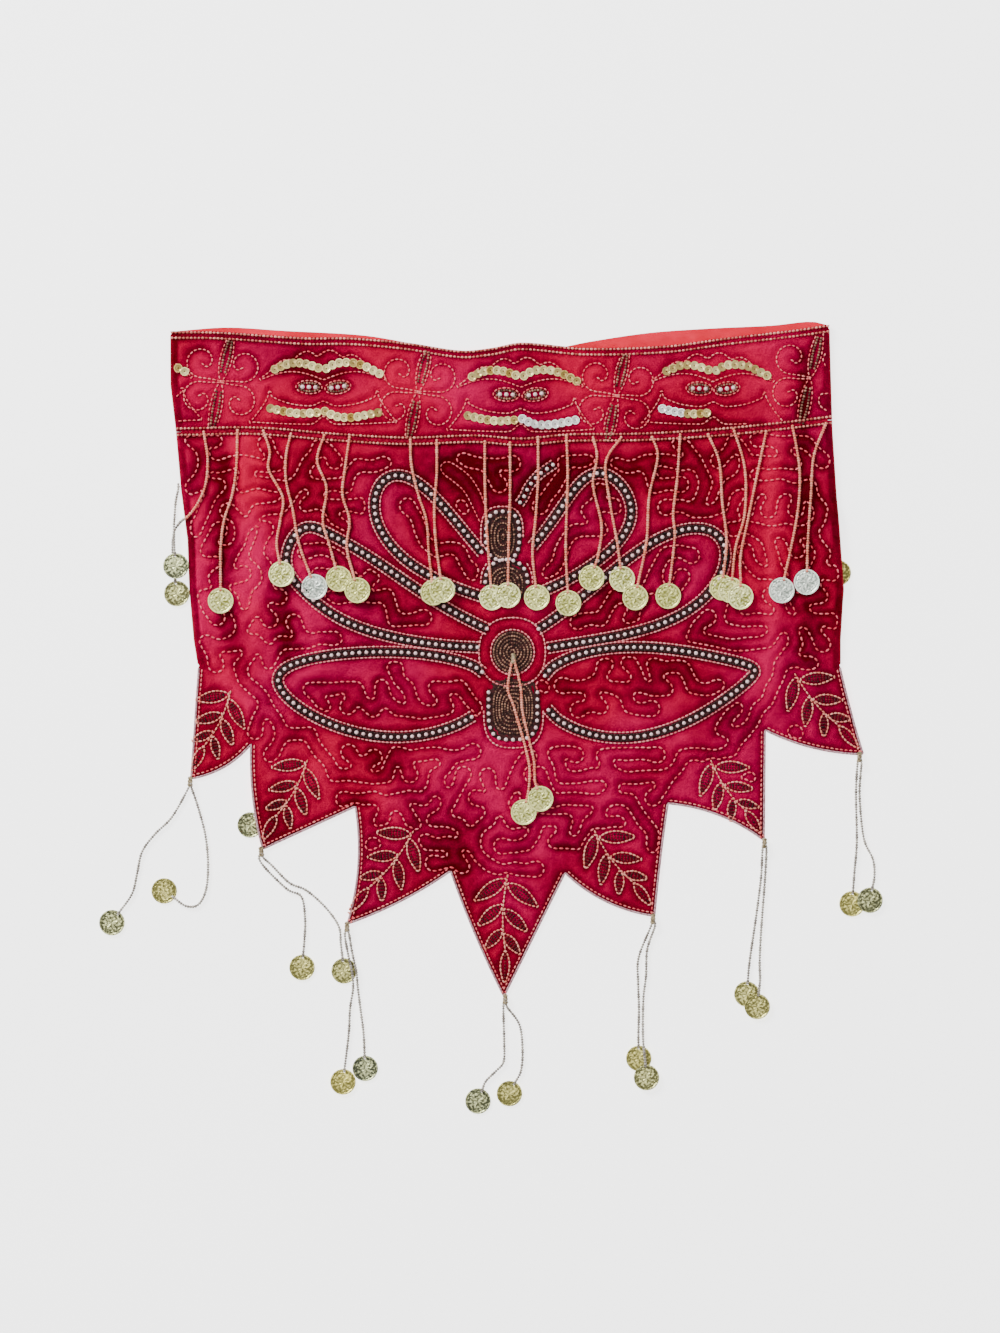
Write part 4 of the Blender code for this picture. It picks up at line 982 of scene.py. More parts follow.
def leaf_pair(x, drop):
    """A slanted figure of two leaves with four tendrils: gold outlines, then the dark rows inside."""
    gold, dark = [], []
    for angle, length in ((193.0, 37.0), (11.0, 40.0)):
        gold.append(turned(leaflet(length, 8.0), angle, x, drop))
        gold.append(turned([(0.0, 5.0), (0.0, length - 5.0)], angle, x, drop))
        for side in (-1, 1):
            vein = [(side * 1.5, 7.0), (side * 2.0, length * 0.5), (side * 1.2, length - 9.0)]
            dark.append(turned(vein, angle, x, drop))
    for side in (-1, 1):
        gold += [turned(curl(side, up), 6.0, x, drop) for up in (1, -1)]
    return gold, dark


def in_band(line):
    """The parts of a line that lie on the front of the waistband, clear of its edges."""
    x, drop = np.asarray(line, float).T
    left, right = side_folds(drop)
    kept = ((x > left + 3) & (x < right - 3)
            & (drop > read(WAIST_FRONT, x) + 6) & (drop < seam_front(x) - 4))
    parts, start = [], None
    for number, good in enumerate([*kept, False]):
        if good and start is None:
            start = number
        if not good and start is not None:
            if number - start > 2:
                parts.append(line[start:number])
            start = None
    return parts


def plan_grid():
    """Places on a grid over the front of the skirt, as rows of x and rows of drop."""
    return np.meshgrid(np.arange(*PLAN_X, PLAN_GRID), np.arange(*PLAN_DROP, PLAN_GRID))


def level_line(x, drop, field):
    """Points, and edges between them, where a field on a grid is zero."""
    number = np.arange(field.size).reshape(field.shape)
    a, b, c, d = number[:-1, :-1], number[:-1, 1:], number[1:, 1:], number[1:, :-1]
    triangles = np.concatenate([np.stack(t, axis=-1).reshape(-1, 3) for t in ((a, b, c), (a, c, d))])
    sides = np.stack([np.sort(triangles[:, [n, (n + 1) % 3]], axis=1) for n in range(3)], axis=1)
    values, places = field.ravel(), np.stack((x.ravel(), drop.ravel()), axis=1)
    cut = (values[sides[..., 0]] > 0) != (values[sides[..., 1]] > 0)
    crossed = cut.any(axis=1)
    ends = sides[crossed][cut[crossed]]
    keys, index = np.unique(ends, axis=0, return_inverse=True)
    near, far = values[keys[:, 0]], values[keys[:, 1]]
    part = (near / (near - far))[:, None]
    return places[keys[:, 0]] * (1 - part) + places[keys[:, 1]] * part, index.reshape(-1, 2)


def branches(nodes, room_at):
    """Trees of short bent branches at random between neighbouring places, none through other beadwork: the
    branches as three places each, and the places where they end."""
    chance = np.random.default_rng(3)
    group = list(range(len(nodes)))

    def root(n):
        while group[n] != n:
            n = group[n]
        return n

    pairs = []
    for n, place in enumerate(nodes):
        away = np.hypot(*(nodes[n + 1:] - place).T)
        pairs += [(n, n + 1 + other) for other in np.flatnonzero(away < BRANCH_SPACING * 1.3)]
    kept, met = [], np.zeros(len(nodes), int)
    for n in chance.permutation(len(pairs)):
        start, end = pairs[n]
        way = nodes[end] - nodes[start]
        bend = np.array((-way[1], way[0])) * chance.uniform(-BRANCH_BEND, BRANCH_BEND)
        branch = (nodes[start], (nodes[start] + nodes[end]) / 2 + bend, nodes[end])
        clear = min(room_at(place) for place in evenly(branch, 2.0)) > LINE_CLEAR + 1.0
        if root(start) != root(end) and clear:
            group[root(start)] = root(end)
            kept.append(branch)
            met[[start, end]] += 1
    return kept, nodes[met < 2]


def chains(points, edges):
    """The lines that edges make of points, each one whole."""
    near = [[] for _ in points]
    for a, b in edges:
        near[a].append(b)
        near[b].append(a)
    left = set(range(len(points)))
    found = []
    for start in sorted(left, key=lambda n: len(near[n])):
        if start not in left:
            continue
        run = [start]
        left.discard(start)
        after = [n for n in near[start] if n in left]
        while after:
            run.append(after[0])
            left.discard(after[0])
            after = [n for n in near[run[-1]] if n in left]
        if run[0] in near[run[-1]] and len(run) > 2:
            run.append(run[0])
        found.append(points[run])
    return found


def rounded_turns(line, reach):
    """A line with its turns rounded over some millimetres to both sides."""
    line = evenly(line, 1.0)
    weights = np.hanning(2 * reach + 3)[1:-1]
    weights /= weights.sum()
    back = np.hypot(*(line[0] - line[-1])) < 0.01
    body = line[:-1] if back else line
    padded = np.pad(body, ((reach, reach), (0, 0)), mode="wrap" if back else "edge")
    soft = np.stack([np.convolve(column, weights, "valid") for column in padded.T], axis=1)
    return closed(soft) if back else soft


def wandering_lines(beadwork, outline):
    """The line that wanders over the skirt between the other beadwork, in its parts, and places along the
    branches that it runs round."""
    chance = np.random.default_rng(5)
    x, drop = plan_grid()
    flat = np.stack((x.ravel(), drop.ravel()), axis=1)
    away = nearest_in(beadwork, flat)
    room = np.where(inside(flat, outline), away, -away).reshape(x.shape)

    def room_at(place):
        row = int(round((place[1] - drop[0, 0]) / PLAN_GRID))
        column = int(round((place[0] - x[0, 0]) / PLAN_GRID))
        return room[min(max(row, 0), room.shape[0] - 1), min(max(column, 0), room.shape[1] - 1)]

    nodes = []
    for row, node_drop in enumerate(np.arange(72.0, 450.0, BRANCH_SPACING * ROW_PART)):
        for node_x in np.arange(-230.0 + BRANCH_SPACING / 2 * (row % 2), 258.0, BRANCH_SPACING):
            shift = chance.uniform(-BRANCH_SHIFT, BRANCH_SHIFT, 2) * BRANCH_SPACING
            place = np.array((node_x, node_drop)) + shift
            if room_at(place) > LINE_CLEAR + 1.5:
                nodes.append(place)
    kept, free = branches(np.array(nodes), room_at)
    density = np.zeros(x.shape)
    for branch in kept:
        density += np.exp(-distance_to(x, drop, branch) / BLEND)
    for place in free:
        away = np.hypot(x - place[0], drop - place[1]) - BRANCH_SWELL
        density += np.exp(-np.maximum(away, -BRANCH_CLEAR) / BLEND)
    away = -BLEND * np.log(np.maximum(density, 1e-12))
    lines = chains(*level_line(x, drop, np.minimum(BRANCH_CLEAR - away, room - LINE_CLEAR)))
    lines = [rounded_turns(line, LINE_ROUNDING) for line in lines if len(line) > 16]
    return lines, np.concatenate([evenly(branch, 1.0) for branch in kept])


def top_at(x, drop):
    """z of the highest thing laid so far at a place on the plan, or 0 for the floor."""
    above = Vector(in_metres((x, drop, 60.0))[0])
    heights = [0.0]
    for tree in LAID:
        hit = tree.ray_cast(above, Vector((0, 0, -1)))[0]
        if hit is not None:
            heights.append(hit.z / MM)
    return max(heights)


def lay(piece):
    """Lets strings and coins lie on a piece."""
    mesh = piece.data
    mesh.calc_loop_triangles()
    points = [v.co for v in mesh.vertices]
    LAID.append(BVHTree.FromPolygons(points, [t.vertices for t in mesh.loop_triangles]))


def top_of_laid(place, reach, laid):
    """z of the highest string or coin laid so far that a string or coin of this reach comes over, or 0."""
    if not laid:
        return 0.0
    x, drop, top, radius = np.array(laid).T
    over = np.hypot(x - place[0], drop - place[1]) < radius + reach
    return top[over].max() if over.any() else 0.0


def laid_string(points, coin, laid):
    """The way of a string from its head to its coin's hole, lying on what is under it."""
    end = np.array(points[-1])
    way = np.array(coin) - end
    way /= np.hypot(*way)
    hole = np.array(coin) - way * (COIN_RADIUS - STRING_IN)
    line = through([*points, hole], 1.0)
    half = STRING_BEAD.thickness / 2
    tops = np.array([max(top_at(*place), top_of_laid(place, half, laid)) for place in line])
    wide = np.pad(tops, 3, mode="edge")
    highest = np.max([wide[n:n + len(tops)] for n in range(7)], axis=0)
    padded = np.pad(highest, 3, mode="edge")
    soft = np.convolve(padded, np.array((1, 2, 3, 4, 3, 2, 1)) / 16, mode="valid")
    z = np.maximum(soft, tops) + half + CLEAR
    return np.column_stack((line, z)), way


def laid_coin(coin, way, chance, laid):
    """Where a coin lies: its middle, its upward direction and the way that its hole points."""
    ring = [(0.0, 0.0)]
    for reach in (0.5, 0.97):
        ring += [(COIN_RADIUS * reach * math.cos(a), COIN_RADIUS * reach * math.sin(a))
                 for a in np.linspace(0, math.tau, 10, endpoint=False)]
    base = max(top_at(coin[0] + dx, coin[1] + dy) for dx, dy in ring)
    base = max(base, top_of_laid(coin, COIN_RADIUS, laid))
    tilt = chance.uniform(-0.05, 0.05, 2)
    rise = COIN_RADIUS * np.abs(tilt).sum()
    place = (coin[0], coin[1], base + CLEAR + rise * 0.7)
    return place, (tilt[0], tilt[1], 1.0), (-way[0], way[1], 0.0)


def points_mesh(name, places, ups, ways, **numbers):
    """Points that carry the direction up, the way ahead and any numbers of what stands on them."""
    mesh = bpy.data.meshes.new(name)
    mesh.from_pydata([tuple(p) for p in in_metres(places)], [], [])
    store(mesh, "up", ups, "FLOAT_VECTOR")
    store(mesh, "way", ways, "FLOAT_VECTOR")
    for field, values in numbers.items():
        store(mesh, field, values)
    return mesh


class Socket:
    """One value in a node tree. Arithmetic on it adds Math nodes."""

    def __init__(self, tree, socket):
        self.tree, self.socket = tree, socket

    def math(self, operation, first, second=0.0):
        return self.tree.add("ShaderNodeMath", {"operation": operation}, {0: first, 1: second})

    def __add__(self, other):
        return self.math("ADD", self, other)

    def __sub__(self, other):
        return self.math("SUBTRACT", self, other)

    def __rsub__(self, other):
        return self.math("SUBTRACT", other, self)

    def __mul__(self, other):
        return self.math("MULTIPLY", self, other)

    __radd__ = __add__
    __rmul__ = __mul__

    def sine(self):
        return self.math("SINE", self)

    def within(self, low, high):
        """0 up to low, 1 from high, and an even curve between."""
        return self.tree.add("ShaderNodeMapRange", {"interpolation_type": "SMOOTHSTEP"},
                             {"Value": self, "From Min": low, "From Max": high}, "Result")


class Nodes:
    """A node tree in the making."""

    def __init__(self, tree):
        self.tree = tree

    def add(self, kind, settings=None, inputs=None, output=0):
        """One node: its type, its settings, the values or links of its sockets, and the output to give."""
        node = self.tree.nodes.new(kind)
        for name, value in (settings or {}).items():
            setattr(node, name, value)
        for name, value in (inputs or {}).items():
            if isinstance(value, Socket):
                self.tree.links.new(value.socket, node.inputs[name])
            else:
                node.inputs[name].default_value = value
        return Socket(self, node.outputs[output])

    def blend(self, part, first, second):
        """A colour between two, by part."""
        first = first if isinstance(first, Socket) else (*first, 1.0)
        second = second if isinstance(second, Socket) else (*second, 1.0)
        return self.add("ShaderNodeMix", {"data_type": "RGBA", "clamp_factor": True},
                        {0: part, 6: first, 7: second}, 2)

    def noise(self, place, scale, detail=2.0):
        return self.add("ShaderNodeTexNoise", {}, {"Vector": place, "Scale": scale, "Detail": detail}, "Fac")

    def stored(self, name, output="Fac"):
        return self.add("ShaderNodeAttribute", {"attribute_name": name}, {}, output)

    def here(self):
        return self.add("ShaderNodeTexCoord", {}, {}, "Object")


def finish(name, colour, make=None, **fixed):
    """A finish: the shader's fixed sockets, then what make gives for colour, roughness and relief."""
    made = bpy.data.materials.new(name)
    made.use_nodes = True
    nodes = Nodes(made.node_tree)
    shader = made.node_tree.nodes["Principled BSDF"]
    shader.inputs["Base Color"].default_value = (*colour, 1.0)
    for socket, value in fixed.items():
        shader.inputs[socket.replace("_", " ")].default_value = value
    for socket, value in (make(nodes) if make else {}).items():
        made.node_tree.links.new(value.socket, shader.inputs[socket])
    LOOKS[name] = made


def relief(nodes, height, distance, strength=1.0):
    """The direction of a surface with fine relief."""
    return nodes.add("ShaderNodeBump", {}, {"Height": height, "Distance": distance, "Strength": strength})


def weave(nodes, threads):
    """Height of a plain weave over the cloth's own measure, with so many threads to the metre."""
    measure = nodes.add("ShaderNodeUVMap", {"uv_map": "cloth"})
    apart = nodes.add("ShaderNodeSeparateXYZ", {}, {0: measure}, "X")
    down = nodes.add("ShaderNodeSeparateXYZ", {}, {0: measure}, "Y")
    return (apart * (threads * math.tau)).sine() * (down * (threads * math.tau)).sine()


def georgette(nodes):
    """Crimson georgette over satin, crinkled, with painted highlights on puffs, painted shade at creases'
    feet.
    """
    here = nodes.here()
    crinkle = nodes.noise(here, 620.0, 3.0)
    ripple = nodes.noise(here, 150.0, 2.0)
    patch = nodes.noise(here, 17.0, 2.0)
    puff, lift = nodes.stored("puff"), nodes.stored("lift")
    hue = nodes.noise(here, 8.0).within(0.38, 0.62)
    # tone: random patches, ripples and crinkle, plus puff, lift and the stored light as painted highlights
    # and shade.
    tone = (patch * 0.66 + puff * 0.40 + lift * 0.20 + ripple * 0.46 + crinkle * 0.20
            + nodes.stored("gleam") * 0.9).within(0.42, 1.50)
    bright = nodes.blend(hue, (0.61, 0.0, 0.048), (0.59, 0.0, 0.080))
    colour = nodes.blend(tone, (0.09, 0.0, 0.004), bright)
    height = weave(nodes, 1700.0) * 0.15 + crinkle * 0.8 + ripple * 2.0
    return {"Base Color": colour, "Roughness": 0.54 - patch * 0.18,
            "Normal": relief(nodes, height, 0.0006, 0.8)}


def lining(nodes):
    """Coral satin lining, with the faint run of its threads."""
    here = nodes.here()
    patch = nodes.noise(here, 30.0)
    colour = nodes.blend(patch.within(0.3, 0.7), (0.68, 0.003, 0.022), (0.90, 0.012, 0.050))
    height = weave(nodes, 1500.0) * 0.2 + nodes.noise(here, 120.0) * 1.5
    return {"Base Color": colour, "Roughness": 0.5 - patch * 0.15,
            "Normal": relief(nodes, height, 0.0005, 0.6)}


def tinted(first, second, rough, spread):
    """Beads whose colour and gloss differ from one to the next."""
    def make(nodes):
        tint = nodes.stored("tint")
        colour = nodes.blend(tint, first, second)
        height = nodes.noise(nodes.here(), 900.0)
        return {"Base Color": colour, "Roughness": tint * spread + rough,
                "Normal": relief(nodes, height, 0.0002, 0.5)}
    return make


def string_beads(nodes):
    """Pale gold beads on a string: a rosy painted reflection over the cloth, grey painted shade past it."""
    tint = nodes.stored("tint")
    # over: painted reflection of the red cloth; past: painted shade for beads past the cloth's edge.
    over = nodes.blend(tint, (0.90, 0.24, 0.15), (1.0, 0.42, 0.31))
    past = nodes.blend(tint.within(0.1, 0.9), (0.24, 0.21, 0.18), (0.47, 0.43, 0.37))
    colour = nodes.blend(nodes.stored("past"), over, past)
    height = nodes.noise(nodes.here(), 900.0)
    return {"Base Color": colour, "Roughness": tint * 0.2 + 0.3, "Normal": relief(nodes, height, 0.0002, 0.5)}


def stamped(nodes):
    """Thin stamped metal, greenish gold or silver, duller in the hollows of its grain."""
    spot = nodes.stored("spot", "Vector")
    grain = nodes.noise(spot, 540.0, 3.0)
    from_middle = nodes.add("ShaderNodeVectorMath", {"operation": "LENGTH"}, {0: spot}, "Value")
    # rim: a painted highlight on the raised rim.
    rim = from_middle.within((COIN_RADIUS - 1.5) * MM, (COIN_RADIUS - 1.0) * MM)
    cloud = nodes.noise(nodes.here(), 90.0)
    silver = nodes.stored("silver")
    past = nodes.stored("past")
    # outer: painted shade towards the rim of coins past the cloth's edge.
    outer = from_middle.within(0.4 * COIN_RADIUS * MM, COIN_RADIUS * MM) * past
    tint = nodes.stored("tint")
    # Past the cloth's edge the gold and its hollows take other tones, darker hollows: painted light and
    # shade.
    gold = nodes.blend(past, nodes.blend(tint, (0.80, 0.78, 0.26), (1.0, 1.0, 0.46)),
                       nodes.blend(tint, (0.80, 0.84, 0.44), (1.0, 0.88, 0.22)))
    hollow = nodes.blend(past, (0.30, 0.30, 0.06),
                         nodes.blend(tint, (0.08, 0.09, 0.05), (0.28, 0.25, 0.06)))
    bright = nodes.blend(silver, gold, (0.95, 1.0, 0.90))
    dull = nodes.blend(silver, hollow, (0.36, 0.42, 0.36))
    shade = grain * 0.8 + cloud * 0.2 + rim * 0.10 - outer * 0.13
    colour = nodes.blend(shade.within(0.42, 0.55), dull, bright)
    return {"Base Color": colour, "Roughness": 0.55 - grain * 0.25,
            "Normal": relief(nodes, grain, 0.0004, 0.7)}


def sequin_film(nodes):
    """Metallised film, gold or silver."""
    tint, silver = nodes.stored("tint"), nodes.stored("silver")
    gold = nodes.blend(tint, (0.42, 0.26, 0.05), (1.0, 0.86, 0.40))
    colour = nodes.blend(silver, gold, (0.92, 0.90, 0.86))
    height = nodes.noise(nodes.here(), 500.0)
    return {"Base Color": colour, "Roughness": tint * 0.16 + 0.14,
            "Normal": relief(nodes, height, 0.0003, 0.5)}


def threads(first, second):
    """Close rows of thread in two tones."""
    def make(nodes):
        here = nodes.here()
        grain = nodes.noise(here, 700.0, 2.0)
        colour = nodes.blend(grain.within(0.35, 0.65), first, second)
        return {"Base Color": colour, "Normal": relief(nodes, grain, 0.0006, 0.8)}
    return make


def floor_tone(nodes):
    """A pale floor that varies only faintly."""
    return {"Base Color": nodes.blend(nodes.noise(nodes.here(), 3.0), (0.90, 0.90, 0.90), (0.93, 0.93, 0.93))}


def make_finishes():
    """Every finish of the garment, and the floor's."""
    finish("crimson georgette", (0.5, 0.01, 0.04), georgette, Metallic=0.45, Specular_IOR_Level=0.03,
           Specular_Tint=(1.0, 0.1, 0.2, 1.0))
    finish("coral lining", (0.7, 0.1, 0.08), lining, Sheen_Weight=0.2, Sheen_Tint=(1.0, 0.3, 0.3, 1.0),
           Specular_IOR_Level=0.1)
    for name, (colour, first, second, rough, spread, shine) in BEAD_FINISHES.items():
        finish(name, colour, tinted(first, second, rough, spread), Specular_IOR_Level=shine)
    finish("string beads", (0.8, 0.7, 0.5), string_beads, Specular_IOR_Level=0.15)
    finish("pearls", (0.85, 0.8, 0.76), tinted((0.96, 0.62, 0.63), (1.0, 0.80, 0.80), 0.12, 0.12),
           Coat_Weight=0.6, Coat_Roughness=0.08)
    for name, (colour, first, second, rough, shine) in THREAD_FINISHES.items():
        finish(name, colour, threads(first, second), Roughness=rough, Specular_IOR_Level=shine)
    finish("stamped metal", (0.8, 0.7, 0.4), stamped, Metallic=0.6)
    finish("sequin film", (0.9, 0.7, 0.4), sequin_film, Metallic=0.5)
    finish("pale floor", (0.9, 0.9, 0.9), floor_tone, Roughness=0.9, Emission_Color=(1.0, 1.0, 1.0, 1.0),
           Emission_Strength=2.7)


def tree_with(name, inputs):
    """A tree of geometry nodes with named inputs; gives its nodes and each input's socket."""
    tree = bpy.data.node_groups.new(name, "GeometryNodeTree")
    for label, kind in inputs.items():
        tree.interface.new_socket(label, in_out="INPUT", socket_type="NodeSocket" + kind)
    tree.interface.new_socket("Made", in_out="OUTPUT", socket_type="NodeSocketGeometry")
    nodes = Nodes(tree)
    given = tree.nodes.new("NodeGroupInput")
    return nodes, {label: Socket(nodes, given.outputs[label]) for label in inputs}


def end_tree(nodes, geometry, look, rounded):
    """Makes real what a tree has placed, smooths it and gives it its finish."""
    real = nodes.add("GeometryNodeRealizeInstances", {}, {0: geometry})
    shaded = nodes.add("GeometryNodeSetShadeSmooth", {}, {0: real, "Shade Smooth": rounded})
    done = nodes.add("GeometryNodeSetMaterial", {}, {0: shaded, "Material": look})
    out = nodes.tree.nodes.new("NodeGroupOutput")
    nodes.tree.links.new(done.socket, out.inputs[0])
    return nodes.tree


def random_value(nodes, low, high, seed):
    return nodes.add("FunctionNodeRandomValue", {"data_type": "FLOAT"}, {2: low, 3: high, 8: seed}, 1)


def bead_tree():
    """Beads threaded along lines, each a little different in size and tint."""
    nodes, given = tree_with("beads along lines", {
        "Lines": "Geometry", "Pitch": "Float", "Length": "Float", "Thickness": "Float", "Uneven": "Float",
        "Sides": "Int", "Rings": "Int", "Seed": "Int", "Finish": "Material"})
    curve = nodes.add("GeometryNodeMeshToCurve", {}, {0: given["Lines"]})
    spaced = nodes.add("GeometryNodeResampleCurve", {"mode": "LENGTH"},
                       {"Curve": curve, "Length": given["Pitch"]})
    ball = nodes.add("GeometryNodeMeshUVSphere", {},
                     {"Segments": given["Sides"], "Rings": given["Rings"], "Radius": 0.5})
    size = nodes.add("ShaderNodeCombineXYZ", {},
                     {0: given["Thickness"], 1: given["Thickness"], 2: given["Length"]})
    bead = nodes.add("GeometryNodeTransform", {}, {"Geometry": ball, "Scale": size})
    ahead = nodes.add("GeometryNodeInputTangent")
    turn = nodes.add("FunctionNodeAlignRotationToVector", {"axis": "Z"}, {"Vector": ahead})
    uneven = random_value(nodes, 1 - given["Uneven"], 1 + given["Uneven"], given["Seed"])
    placed = nodes.add("GeometryNodeInstanceOnPoints", {},
                       {"Points": spaced, "Instance": bead, "Rotation": turn, "Scale": uneven})
    tint = random_value(nodes, 0.0, 1.0, given["Seed"] + 7.0)
    tinted_beads = nodes.add("GeometryNodeStoreNamedAttribute", {"data_type": "FLOAT", "domain": "INSTANCE"},
                             {"Geometry": placed, "Name": "tint", "Value": tint})
    return end_tree(nodes, tinted_beads, given["Finish"], True)


def standing_tree():
    """Copies of one form at points, turned to each point's directions up and ahead."""
    nodes, given = tree_with("forms at points", {
        "Points": "Geometry", "Form": "Object", "Rounded": "Bool", "Seed": "Int", "Finish": "Material"})
    form = nodes.add("GeometryNodeObjectInfo", {}, {"Object": given["Form"]}, "Geometry")
    field = {"data_type": "FLOAT_VECTOR"}
    up = nodes.add("GeometryNodeInputNamedAttribute", field, {"Name": "up"})
    way = nodes.add("GeometryNodeInputNamedAttribute", field, {"Name": "way"})
    upright = nodes.add("FunctionNodeAlignRotationToVector", {"axis": "Z"}, {"Vector": up})
    turn = nodes.add("FunctionNodeAlignRotationToVector", {"axis": "X", "pivot_axis": "Z"},
                     {"Rotation": upright, "Vector": way})
    placed = nodes.add("GeometryNodeInstanceOnPoints", {},
                       {"Points": given["Points"], "Instance": form, "Rotation": turn})
    tint = random_value(nodes, 0.0, 1.0, given["Seed"])
    tinted_forms = nodes.add("GeometryNodeStoreNamedAttribute", {"data_type": "FLOAT", "domain": "INSTANCE"},
                             {"Geometry": placed, "Name": "tint", "Value": tint})
    return end_tree(nodes, tinted_forms, given["Finish"], given["Rounded"])


def cord_tree():
    """A round cord along lines."""
    nodes, given = tree_with("cord along lines", {
        "Lines": "Geometry", "Thickness": "Float", "Sides": "Int", "Finish": "Material"})
    curve = nodes.add("GeometryNodeMeshToCurve", {}, {0: given["Lines"]})
    spaced = nodes.add("GeometryNodeResampleCurve", {"mode": "LENGTH"}, {"Curve": curve, "Length": 2.0 * MM})
    ring = nodes.add("GeometryNodeCurvePrimitiveCircle", {"mode": "RADIUS"},
                     {"Resolution": given["Sides"], "Radius": given["Thickness"] * 0.5}, "Curve")
    tube = nodes.add("GeometryNodeCurveToMesh", {},
                     {"Curve": spaced, "Profile Curve": ring, "Fill Caps": True})
    return end_tree(nodes, tube, given["Finish"], True)


def grown(name, mesh, tree, look, **inputs):
    """The piece that a tree makes from a mesh of lines or points, as a plain mesh."""
    source = bpy.data.objects.new(name + "_source", mesh)
    bpy.context.scene.collection.objects.link(source)
    modifier = source.modifiers.new("grow", "NODES")
    modifier.node_group = tree
    inputs["Finish"] = LOOKS[look]
    for item in tree.interface.items_tree:
        if item.in_out == "INPUT" and item.name in inputs:
            modifier[item.identifier] = inputs[item.name]
    graph = bpy.context.evaluated_depsgraph_get()
    made = bpy.data.meshes.new_from_object(source.evaluated_get(graph), depsgraph=graph)
    bpy.data.objects.remove(source)
    made.name = name
    return new_piece(name, made)


def beads(name, mesh, look, bead, seed):
    """Beads of one kind along the lines of a mesh."""
    piece = grown(name, mesh, TREES["beads"], look, Pitch=bead.pitch * MM, Length=bead.length * MM,
                  Thickness=bead.thickness * MM, Uneven=bead.uneven, Sides=bead.sides, Rings=bead.rings,
                  Seed=seed)
    return piece


def sewn(name, lines, look, bead, seed, up=SEWN):
    """Beads sewn along lines of the plan."""
    return beads(name, lines_mesh(name, [on_cloth(line, up) for line in lines]), look, bead, seed)


def forms(name, mesh, form, look, seed, rounded=False):
    """Copies of a form at the points of a mesh; the form itself goes."""
    piece = grown(name, mesh, TREES["forms"], look, Form=form, Rounded=rounded, Seed=seed)
    bpy.data.objects.remove(form)
    return piece


def tube_faces(first, rings, count):
    """The sides and both ends of a tube, from its first point, its rings and how many points each has."""
    last = first + (rings - 1) * count
    faces = []
    for start in range(first, last, count):
        for n in range(count):
            a, b = start + n, start + (n + 1) % count
            faces.append([a, b, b + count, a + count])
    return faces + [list(range(first, first + count)), list(range(last, last + count))]


def solid(name, points, faces, look):
    """A piece from places in millimetres and its faces."""
    mesh = bpy.data.meshes.new(name)
    mesh.from_pydata(in_metres(points).tolist(), [], faces)
    turn_out(mesh)
    return new_piece(name, mesh, look)


def form_object(name, points, faces, spots=None):
    """A small form to copy, in metres about the origin."""
    mesh = bpy.data.meshes.new(name)
    mesh.from_pydata([tuple(np.array(p) * MM) for p in points], [], faces)
    if spots is not None:
        store(mesh, "spot", np.array(spots) * MM, "FLOAT_VECTOR")
    turn_out(mesh)
    form = bpy.data.objects.new(name, mesh)
    bpy.context.scene.collection.objects.link(form)
    return form


def circle(radius, count, x=0.0):
    angle = np.linspace(0, math.tau, count, endpoint=False)
    return np.stack((x + radius * np.cos(angle), radius * np.sin(angle)), axis=1)


def coin_form():
    """A thin stamped disc: a raised rim, a ring of dots, a flower of eight petals, and a hole near its
    edge."""
    hole_at, hole = COIN_RADIUS - HOLE_IN, HOLE_RADIUS
    rim, opening = circle(COIN_RADIUS, 32), circle(hole, 8, hole_at)
    rings = ((7.9, 32), (7.2, 32), (6.4, 32), (5.6, 32), (4.6, 24), (3.4, 24), (2.2, 16), (1.1, 8))
    inner = np.concatenate([circle(radius, count) for radius, count in rings] + [np.zeros((1, 2))])
    inner = inner[np.hypot(inner[:, 0] - hole_at, inner[:, 1]) > hole + 0.35]
    flat = [Vector(p) for p in np.concatenate((rim, opening, inner))]
    flat, _, triangles, *_ = delaunay_2d_cdt(flat, [], [list(range(32))], 1, 1e-5)
    flat = np.array(flat)
    middles = flat[np.array(triangles)].mean(axis=1)
    triangles = [list(t) for t, m in zip(triangles, middles) if math.hypot(m[0] - hole_at, m[1]) > hole * 0.9]
    radius, angle = np.hypot(*flat.T), np.arctan2(flat[:, 1], flat[:, 0])
    raised = 0.40 * smooth((radius - 7.2) / 0.7)
    raised += 0.34 * (np.abs(radius - 6.4) < 0.3) * (np.round(angle / (math.tau / 32)) % 2)
    raised += 0.50 * np.exp(-((radius - 3.2) / 1.5) ** 2) * (0.5 + 0.5 * np.cos(8 * angle))
    raised += 0.35 * np.exp(-(radius / 1.2) ** 2)
    top = np.column_stack((flat, COIN_THICKNESS / 2 + raised))
    bottom = np.column_stack((flat, np.full(len(flat), -COIN_THICKNESS / 2 + 0.2)))
    spots = np.tile(np.column_stack((flat, radius * 0)), (2, 1))
    return form_object("coin_form", *doubled(top, bottom, triangles), spots)


def sequin_form():
    """A small cupped sequin."""
    rings = ((0.5, 0.0), (1.6, 0.22), (2.4, 0.5), (SEQUIN_RADIUS, 0.5))
    count = 12
    top = np.concatenate([np.column_stack((circle(radius, count), np.full(count, z))) for radius, z in rings])
    triangles = []
    for ring in range(len(rings) - 1):
        for n in range(count):
            a, b = ring * count + n, ring * count + (n + 1) % count
            triangles += [[a, a + count, b + count], [a, b + count, b]]
    return form_object("sequin_form", *doubled(top, top - (0, 0, 0.14), triangles))


def knot_form():
    """The bound head of a tassel, lying along x."""
    points = [(x, *place) for x, radius in KNOT_PROFILE for place in circle(radius, KNOT_SIDES)]
    return form_object("knot_form", points, tube_faces(0, len(KNOT_PROFILE), KNOT_SIDES))


